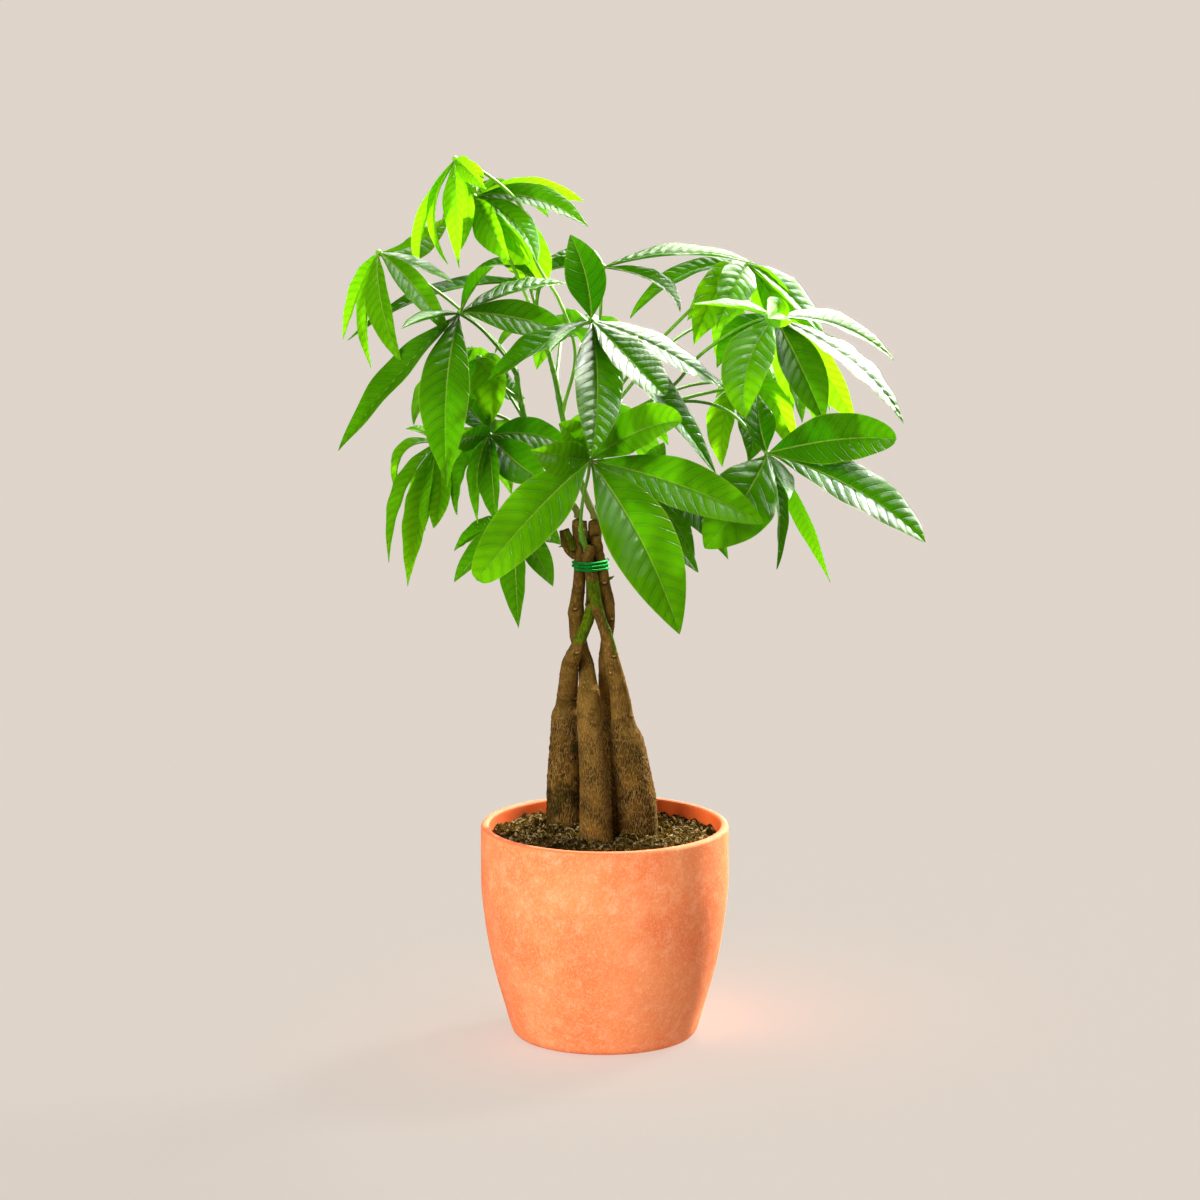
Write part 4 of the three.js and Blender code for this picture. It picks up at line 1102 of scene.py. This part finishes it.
def leaf_scars(name, z, degrees, radius):
    """The relief of a trunk's leaf scars, their dark lines and the pale flecks above them, at each place."""
    relief, lines, flecks = np.zeros((3, *z.shape))
    for height, side, half_width, half_height in SCARS[name]:
        along = np.radians(angle_gap(degrees, side)) * radius / half_width
        above = z - height + SCAR_SAG * half_height * (1 - along**2)
        within = smooth_step(SCAR_END, SCAR_FULL, np.abs(along))
        line = within * np.exp(-((above / SCAR_LINE) ** 2))
        swell = within * smooth_step(SWELL_END, SWELL_FULL, np.abs(above - SWELL_PLACE))
        away = np.hypot(along / FLECK_SIZE, (above - FLECK_PLACE) / FLECK_SIZE)
        relief += SWELL_HEIGHT * swell - SCAR_DEPTH * line
        lines = np.maximum(lines, line)
        flecks = np.maximum(flecks, smooth_step(FLECK_END, FLECK_FULL, away))
    return relief, lines, flecks


def make_trunk(name, stations, bark):
    top = stations[-1][2]
    buried = np.arange(stations[0][2], BURIED_TO, BURIED_STEP)
    levels = np.concatenate((buried, np.arange(BURIED_TO, top, TRUNK_STEP), [top]))
    x, y, radius = (column[:, None] for column in trunk_levels(stations, levels).T)
    z = levels[:, None] + np.zeros(TRUNK_SIDES)
    angle = np.arange(TRUNK_SIDES) * 2 * math.pi / TRUNK_SIDES
    degrees = np.degrees(angle)[None] + np.zeros_like(z)
    wave = 1 + TRUNK_WAVE * np.sin(2 * angle + levels[:, None] * TRUNK_TURN + stations[0][0])
    flat = np.stack((x + radius * np.cos(angle), y + radius * np.sin(angle), z), axis=-1).reshape(-1, 3)

    def grain(waves, octaves=1, shift=0):
        return noise_field(flat + shift, waves, octaves).reshape(z.shape)

    net = NETTED[name] * smooth_step(NET_TOP, NET_FULL, z + NET_EDGE_HEIGHT * grain(NET_EDGE_WAVES))
    threads = (np.abs(grain(NET_LINES, shift=shift)) / NET_LINE_WIDTH for shift in (0, NET_SHIFT))
    lines = sum(np.clip(1 - thread, 0, 1) for thread in threads)
    relief = NET_RELIEF * net * (lines - 0.5)
    relief += FINE_RELIEF * grain(FINE_WAVES, 3)
    relief += BROAD_RELIEF * (1 - 0.4 * net) * grain(BROAD_WAVES, 2)
    tilt = RING_TILT * np.sin(angle + stations[0][1])
    phase = ((z + tilt - stations[0][0]) / RING_SPACING) % 1
    relief += RING_HEIGHT * (1 - net) * np.exp(-((phase - 0.5) * RING_SPACING / RING_WIDTH) ** 2)
    scar_relief, scar, scar_rim = leaf_scars(name, z, degrees, radius)
    taper = np.sqrt(np.clip((top - z) / TOP_ROUND, 0.05, 1))
    r = (radius * wave + relief + scar_relief) * taper
    rings = np.stack((x + r * np.cos(angle), y + r * np.sin(angle), z), axis=-1)
    scar = np.maximum(scar, smooth_step(0.6, 0.2, taper))
    green = green_share(name, z, degrees)
    mottle = MOTTLE[name] * smooth_step(MOTTLE_TOP + MOTTLE_FADE, MOTTLE_TOP - MOTTLE_FADE, z)
    values = {"net": net, "green": green, "scar": scar, "scar_rim": scar_rim, "mottle": mottle}
    shape = Shape()
    shape.add(*loft(rings), **{key: np.append(value.ravel(), (0, 0)) for key, value in values.items()})
    place(shape.object(name + "_bark", [bark], 70), "bark", name)


# Cut side shoots and buds round the trunks' tops: their points, radii, and how green they are
STUBS = (
    (((-20, -0.5, 334), (-24.6, -1, 338), (-27.6, -1.4, 344), (-29.2, -1.6, 352)), (2.8, 2.5, 2.1, 1.7), 0.0),
    (((-21.4, -2.5, 339.5), (-23.4, -3, 345), (-26.6, -3.4, 353)), (2.8, 2.9, 2.5), 0.8),
    (((-12, -5.5, 333), (-10.4, -7.4, 338), (-9.2, -7.8, 343.5)), (3.2, 3.9, 2.4), 0.0),
    (((-4.4, 0.5, 333), (-5.2, -1.8, 341), (-6.4, -2.2, 349)), (3.6, 4.1, 3.0), 0.0),
    (((-13.6, -1, 343), (-14, -1.5, 351), (-14.4, -1.5, 358.5)), (2.6, 2.5, 2.2), 0.15),
    (((1, 0.5, 318), (4, -0.2, 319), (6.4, -0.6, 320.6)), (1.3, 1.1, 0.2), 0.9),
    (((-12.4, 3, 300), (-12.2, 0, 302), (-12.1, -1.6, 304.5)), (1.2, 1.0, 0.2), 0.9),
    (((-26.5, -1.4, 341), (-29.6, -1.6, 341.2), (-31.4, -1.8, 340.6)), (1.0, 0.8, 0.15), 0.8),
)


def make_stubs(bark):
    shape = Shape()
    for points, radii, green in STUBS:
        path = knot_curve(points, STUB_STEP)
        share = np.linspace(0, 1, len(path))
        radius = np.interp(share, np.linspace(0, 1, len(radii)), radii)
        radius = radius * (1 + STUB_UNEVEN * noise_field(path, 0.9))
        cut = per_ring(smooth_step(CUT_FROM, 1.0, share), STUB_SIDES)
        shape.add(*tube(path, radius, STUB_SIDES), net=0.0, green=green, scar=cut, mottle=STUB_MOTTLE)
    place(shape.object("trunk_stubs", [bark], 60), "bark")


# Wire tie

def tie_point(angle, z):
    """Where the wire lies against the trunks in the direction of an angle."""
    direction = np.array((math.cos(angle), math.sin(angle)))
    trunks = (trunk_levels(stations, [z])[0] for stations in TRUNKS.values())
    best = max(trunks, key=lambda trunk: trunk[:2] @ direction + trunk[2])
    out = best[2] * (1 + TRUNK_WAVE) + TIE_RADIUS
    return np.array((*(best[:2] + out * direction), z)), np.array((*direction, 0))


def make_tie():
    count = round(TIE_TURNS * TIE_STEPS)
    angles = 2 * math.pi * (TIE_START + np.arange(count + 1) / TIE_STEPS)
    heights = np.linspace(TIE_FROM, TIE_TO, count + 1)
    found = [tie_point(angle, z) for angle, z in zip(angles, heights)]
    path = np.array([point for point, _ in found])
    out = np.array([direction for _, direction in found])
    tail = path[-1] + np.linspace(0, 1, TIE_TAIL_STEPS)[1:, None] * TIE_TAIL
    path = np.vstack((path, tail))
    out = np.vstack((out, np.repeat(out[-1:], len(tail), axis=0)))
    window = np.ones(2 * TIE_SMOOTHING + 1) / (2 * TIE_SMOOTHING + 1)
    padded = np.pad(path, ((TIE_SMOOTHING, TIE_SMOOTHING), (0, 0)), mode="edge")
    smooth = np.stack([np.convolve(padded[:, k], window, "valid") for k in range(3)], axis=-1)
    run = run_along(smooth)
    shape = Shape()
    for strand in range(STRAND_COUNT):
        turn = 2 * math.pi * (run / STRAND_PITCH + strand / STRAND_COUNT)[:, None]
        course = smooth + STRAND_OFFSET * (out * np.cos(turn) + np.array((0, 0, 1)) * np.sin(turn))
        shape.add(*tube(course, np.full(len(course), STRAND_RADIUS), STRAND_SIDES, FLAT_REFERENCE))
    place(shape.object("tie_wire", [tie_material()]), "tie", "wire_tie")


# Leaves

def rib_curve(hub, middle, tip, share):
    """Points and directions of a leaflet's rib, a curve from the hub through its middle to its tip."""
    control = 2 * middle - (hub + tip) / 2
    share = share[:, None]
    points = (1 - share) ** 2 * hub + 2 * share * (1 - share) * control + share**2 * tip
    return points, unit((1 - share) * (control - hub) + share * (tip - control))


def upper_side(tangent, facing, turn, away):
    """Where a leaflet's upper side looks along its rib: toward the sky and away from the trunks."""
    toward = unit(facing - (tangent @ facing)[:, None] * tangent)
    across = np.cross(tangent, toward)
    skyward = np.array((away * SKYWARD_LEAN, 0, 1))
    sign = -1 if across[len(across) // 2] @ skyward < 0 else 1
    radians = sign * np.radians(turn)[:, None]
    return toward * np.cos(radians) + across * np.sin(radians)


def drawn(draw, limits):
    """A value from the first limit on, and at most the second limit more."""
    low, more = limits
    return low + more * draw.random()


def blade_outline(share, draw, tip_shape):
    """Half of a leaflet's width along its rib, as a share of the most: its fullest place and ends vary."""
    place_along = share ** drawn(draw, FULLEST)
    base_shape, usual_tip = drawn(draw, BASE_SHAPE), drawn(draw, TIP_SHAPE)
    power = np.where(place_along < 0.5, base_shape, usual_tip if tip_shape is None else tip_shape)
    return np.sin(math.pi * place_along) ** power


def blade_columns(half):
    """Where a blade's columns are across it, from -1 to 1, in each row, and which are on the upper side."""
    upper = np.array(UPPER_COLUMNS)
    upper = np.concatenate((-upper[::-1], [0], upper))
    rib_column = np.clip(RIB_HALF / half, *RIB_COLUMN)
    under_column = np.full(LEAF_ROWS, UNDER_COLUMN)
    lower = np.stack((under_column, rib_column, 0 * half, -rib_column, -under_column), axis=-1)
    u = np.concatenate((np.broadcast_to(upper, (LEAF_ROWS, len(upper))), lower), axis=1)
    return u, np.arange(u.shape[1]) < len(upper)


def blade_relief(draw, share, half, u, on_top, width, length, flatter):
    """How high each place of a blade stands above its rib's line, and its place among the side veins."""
    share, half = share[:, None], half[:, None]
    breadth = width / WIDE_BLADE
    across = np.abs(u) * half
    spacing = VEIN_SPACING * drawn(draw, SPACING_SHARE) * (0.4 + 0.6 * breadth)
    offset = np.where(u > 0, 0.5, 0.0) + draw.random()
    vein_place = share * length - VEIN_SLANT * across - VEIN_CURVE * across * np.abs(u)
    vein = vein_place / spacing + offset + FIRST_VEIN
    swell = np.abs(np.sin(math.pi * vein)) ** QUILT_ROUND
    rise = smooth_step(0, 0.2, np.abs(u)) * (1 - np.abs(u) ** 5) * np.sin(math.pi * share) ** 0.5
    quilt = QUILT * min(QUILT_MOST, breadth**1.3) * swell * rise
    fold = BLADE_FOLD * drawn(draw, FOLD_SHARE) * flatter
    lift = half * fold * np.abs(u) * (1 - FOLD_ROUND * np.abs(u))
    waves = drawn(draw, MARGIN_WAVES)
    phase = np.where(u > 0, draw.random(), draw.random() + 0.4)
    lift += MARGIN_WAVE * min(1, breadth) * half * u**2 * np.sin(2 * math.pi * (waves * share + phase))
    groove = GROOVE_DEPTH * np.exp(-((across / GROOVE_HALF) ** 2))
    rib_drop = RIB_DEPTH * (1 - share) ** RIB_TAPER * np.exp(-((across / RIB_HALF) ** 2))
    height = np.where(on_top, lift + quilt - groove, lift - BLADE_THICKNESS - rib_drop)
    return np.where(np.abs(u) == 1, lift, height), vein


def add_leaflet(shape, draw, hub, leaflet, facing, youth, tip_shape, flatter):
    middle, tip = np.array(leaflet[:2], float)
    width, turn = leaflet[2:]
    length = np.linalg.norm(middle - hub) + np.linalg.norm(tip - middle)
    share = np.linspace(0, 1, LEAF_ROWS + 1)[:-1]
    rib, tangent = rib_curve(hub, middle, tip, share)
    twist = turn + TWIST_UNEVEN * (draw.random() - 0.5) * (share - TWIST_MIDDLE)
    normal = upper_side(tangent, facing, twist, np.sign(middle[0]))
    side = np.cross(normal, tangent)
    rib = rib + side * (np.sin(math.pi * share) * length * RIB_SWAY * (draw.random() - 0.5))[:, None]
    half = np.maximum(width / 2 * blade_outline(share, draw, tip_shape), PETIOLULE_HALF * (1 - share) ** 0.5)
    u, on_top = blade_columns(half)
    height, vein = blade_relief(draw, share, half, u, on_top, width, length, flatter)
    across = u * half[:, None]
    rings = rib[:, None] + side[:, None] * across[..., None] + normal[:, None] * height[..., None]
    points, faces = loft(rings[:, ::-1], rib[0], tip)
    order = np.arange(u.shape[1])[::-1]
    under = ~(on_top[order] & on_top[np.roll(order, -1)])
    slots = np.concatenate((np.tile(under, LEAF_ROWS - 1), under, under)).astype(int)
    values = {"vein": vein, "across": np.abs(across), "along": share[:, None] + 0 * u, "rim": np.abs(u)}
    for key, value in values.items():
        values[key] = np.append(value[:, ::-1].ravel(), (value[0].mean(), value[-1].mean()))
    far_along = per_ring(share, u.shape[1]) - YOUTH_MIDDLE
    pale = youth + YOUTH_UNEVEN * (draw.random() - 0.5) + YOUTH_RISE * far_along
    shape.add(points, faces, slots, youth=np.clip(pale, 0, 1), **values)


def add_stalk(shape, points, youth):
    path = knot_curve(points, STALK_STEP)
    run = run_along(path)
    lower, upper = (np.exp(-((away / SWELL_LENGTH) ** 2)) for away in (run, run[-1] - run))
    swell = lower + UPPER_SWELL * upper
    shape.add(*tube(path, STALK_RADIUS + STALK_SWELL * swell, STALK_SIDES), 2, youth=youth)


def add_hub(shape, hub, youth):
    angle = np.radians(np.linspace(-80, 80, 9))
    path = hub + np.column_stack((0 * angle, 0 * angle, HUB_RADIUS * np.sin(angle)))
    shape.add(*tube(path, HUB_RADIUS * np.cos(angle), STALK_SIDES + 2), 2, youth=youth)


def make_leaf(name, node, leaf, facing, youth, materials, draw):
    shape = Shape()
    hub = np.array(leaf["hub"], float)
    add_stalk(shape, [*leaf["stalk"], hub], youth)
    add_hub(shape, hub, youth)
    for i, leaflet in enumerate(leaf["leaflets"]):
        own_youth, own_fold, own_tip = (
            table.get(name, {}).get(i, usual)
            for table, usual in ((LEAFLET_YOUTH, youth), (LEAFLET_FOLD, 1.0), (LEAFLET_TIP, None))
        )
        add_leaflet(shape, draw, hub, leaflet, facing, own_youth, own_tip, own_fold)
    slot = "young_leaf" if youth >= YOUNG_FROM else "leaf"
    place(shape.object("leaf_" + name, materials, 60), slot, node)


def spread_leaf(hub, base, count, reach, width, facing):
    """A leaf at the back of the crown, its leaflets spread round the hub like the fingers of a hand."""
    hub = np.array(hub, float)
    side = unit(np.cross((0, 0, 1), facing))
    down = np.cross(side, facing)
    leaflets = []
    for k in range(count):
        angle = 2 * math.pi * (k + 0.5) / count
        uneven = math.sin(UNEVEN_STEP * k + hub[0])
        length = reach * (1 - UNEVEN_LENGTH * (1 - uneven)) * (1 - TOP_SHORTER * (1 - math.cos(angle)))
        out = down * math.cos(angle) + side * math.sin(angle)
        via = hub + length * (SPREAD_MIDDLE * out + SPREAD_RISE * facing)
        tip = hub + length * (SPREAD_TIP * out - SPREAD_FALL * facing - (0, 0, SPREAD_DROOP))
        leaflets.append((via, tip, width * (1 - UNEVEN_WIDTH * (1 - uneven)), UNEVEN_TURN * uneven))
    bend = (hub + base) / 2 + (0, 0, SPREAD_STALK_RISE)
    return {"hub": hub, "stalk": (base, bend), "leaflets": leaflets}


def make_stem(name, node, stations, material):
    """A green stem with a slight knot where each leaf stalk once grew."""
    table = np.array(stations, float)
    path = knot_curve(table[:, :3], STEM_STEP)
    rise = np.linspace(0, 1, len(path))
    run = run_along(table[:, :3])
    length = rise * run[-1]
    radius = np.interp(length, run, table[:, 3])
    knot = np.exp(-(((length % KNOT_SPACING) - KNOT_SPACING / 2) / KNOT_LENGTH) ** 2)
    radius = radius + KNOT_HEIGHT * knot + STEM_UNEVEN * noise_field(path, 0.3)
    woody = per_ring(smooth_step(WOODY_TO, 0.0, rise), STEM_SIDES, (1, 0))
    shape = Shape()
    shape.add(*tube(path, radius, STEM_SIDES), youth=STEM_YOUTH, woody=woody)
    place(shape.object("stem_" + name, [material], 60), "leaf", node)


def make_foliage():
    draw = np.random.default_rng(SEED)
    stalk = stalk_material()
    materials = [leaf_material("leaf upper side"), leaf_material("leaf underside", True), stalk]
    for node, stations in STEMS.items():
        side = node.split("_")[-1]
        make_stem(side, node, stations, stalk)
        for name, leaf in LEAVES[node].items():
            make_leaf(name, node, leaf, FRONT, YOUTH[name], materials, draw)
        for i, (*form, facing) in enumerate(BACK_LEAVES.get(node, ())):
            facing = unit(np.array(facing, float))
            leaf = spread_leaf(*form, facing)
            make_leaf(f"{side}_back_{i + 1}", node, leaf, facing, BACK_YOUTH, materials, draw)


# Floor, light and camera

def make_floor():
    half = FLOOR_SIDE * MM / 2
    mesh = bpy.data.meshes.new("floor")
    corners = [(-half, -half, 0), (half, -half, 0), (half, half, 0), (-half, half, 0)]
    mesh.from_pydata(corners, [], [(0, 1, 2, 3)])
    mesh.materials.append(floor_material())
    floor = bpy.data.objects.new("floor", mesh)
    bpy.context.scene.collection.objects.link(floor)
    floor.visible_glossy = False
    lit_floor.objects.link(floor)


def make_light(name, kind, place_mm, energy, tint, **settings):
    """A light that looks at the middle of the plant."""
    data = bpy.data.lights.new(name, kind)
    data.energy = energy
    data.color = tint
    for key, value in settings.items():
        setattr(data, key, value)
    made = bpy.data.objects.new(name, data)
    made.location = Vector(place_mm) * MM
    aim = Vector((0, 0, AIM_HEIGHT * MM)) - made.location
    made.rotation_euler = aim.to_track_quat("-Z", "Y").to_euler()
    bpy.context.scene.collection.objects.link(made)
    return made


def make_world(toward_sun):
    """An even pale surrounding; what gleams shows only its bright part, round the sun."""
    world = bpy.data.worlds.new("studio")
    n = Nodes(world)
    where = n.add("TexCoord", {}, 0)
    nearness = n.add("VectorMath", {0: where, 1: toward_sun}, 1, operation="DOT_PRODUCT")
    edge, full = (math.cos(math.radians(angle)) for angle in (GLEAM_EDGE, GLEAM_FULL))
    strength = n.step(nearness, edge, full, 0.0, GLEAM)
    gleam = n.add("Background", {"Color": (*SUN_COLOR, 1), "Strength": strength})
    even = n.add("Background", {"Color": (*WORLD_COLOR, 1), "Strength": WORLD_STRENGTH})
    glossy_ray = n.add("LightPath", {}, "Is Glossy Ray")
    n.finish(n.add("MixShader", {0: glossy_ray, 1: even, 2: gleam}), "World")
    bpy.context.scene.world = world


def make_lights():
    azimuth, height = math.radians(SUN_AZIMUTH), math.radians(SUN_HEIGHT)
    level = SUN_DISTANCE * math.cos(height)
    rise = SUN_DISTANCE * math.sin(height)
    sun_place = (level * math.cos(azimuth), level * math.sin(azimuth), rise + AIM_HEIGHT)
    suns = (
        ("clear_sun", CLEAR_SUN, CLEAR_SUN_ANGLE, plant),
        ("floor_sun", FLOOR_SUN, FLOOR_SUN_ANGLE, lit_floor),
    )
    for name, strength, angle, receivers in suns:
        sun = make_light(name, "SUN", sun_place, strength, SUN_COLOR, angle=math.radians(angle))
        sun.light_linking.receiver_collection = receivers
    fill = make_light("fill", "AREA", FILL_PLACE, FILL_POWER, FILL_COLOR, shape="DISK", size=FILL_SIZE * MM)
    fill.light_linking.receiver_collection = plant
    fill.visible_glossy = False
    make_world(Vector(sun_place).normalized())


def make_camera():
    data = bpy.data.cameras.new("camera")
    data.sensor_width = SENSOR
    data.lens = SENSOR * FOCAL_PIXELS / FRAME_PIXELS
    data.clip_end = 2 * FLOOR_SIDE * MM
    camera = bpy.data.objects.new("camera", data)
    camera.location = Vector(CAMERA_PLACE) * MM
    camera.rotation_euler = (math.radians(90 - CAMERA_DIP), 0, 0)
    bpy.context.scene.collection.objects.link(camera)
    bpy.context.scene.camera = camera


plant = bpy.data.collections.new("lit_plant")
lit_floor = bpy.data.collections.new("lit_floor")
bpy.context.scene.view_settings.view_transform = "Standard"

make_camera()
make_floor()
make_lights()
make_pot()
make_soil()
bark_skin = bark_material()
for trunk_name, trunk_stations in TRUNKS.items():
    make_trunk(trunk_name, trunk_stations, bark_skin)
make_stubs(bark_skin)
make_tie()
make_foliage()
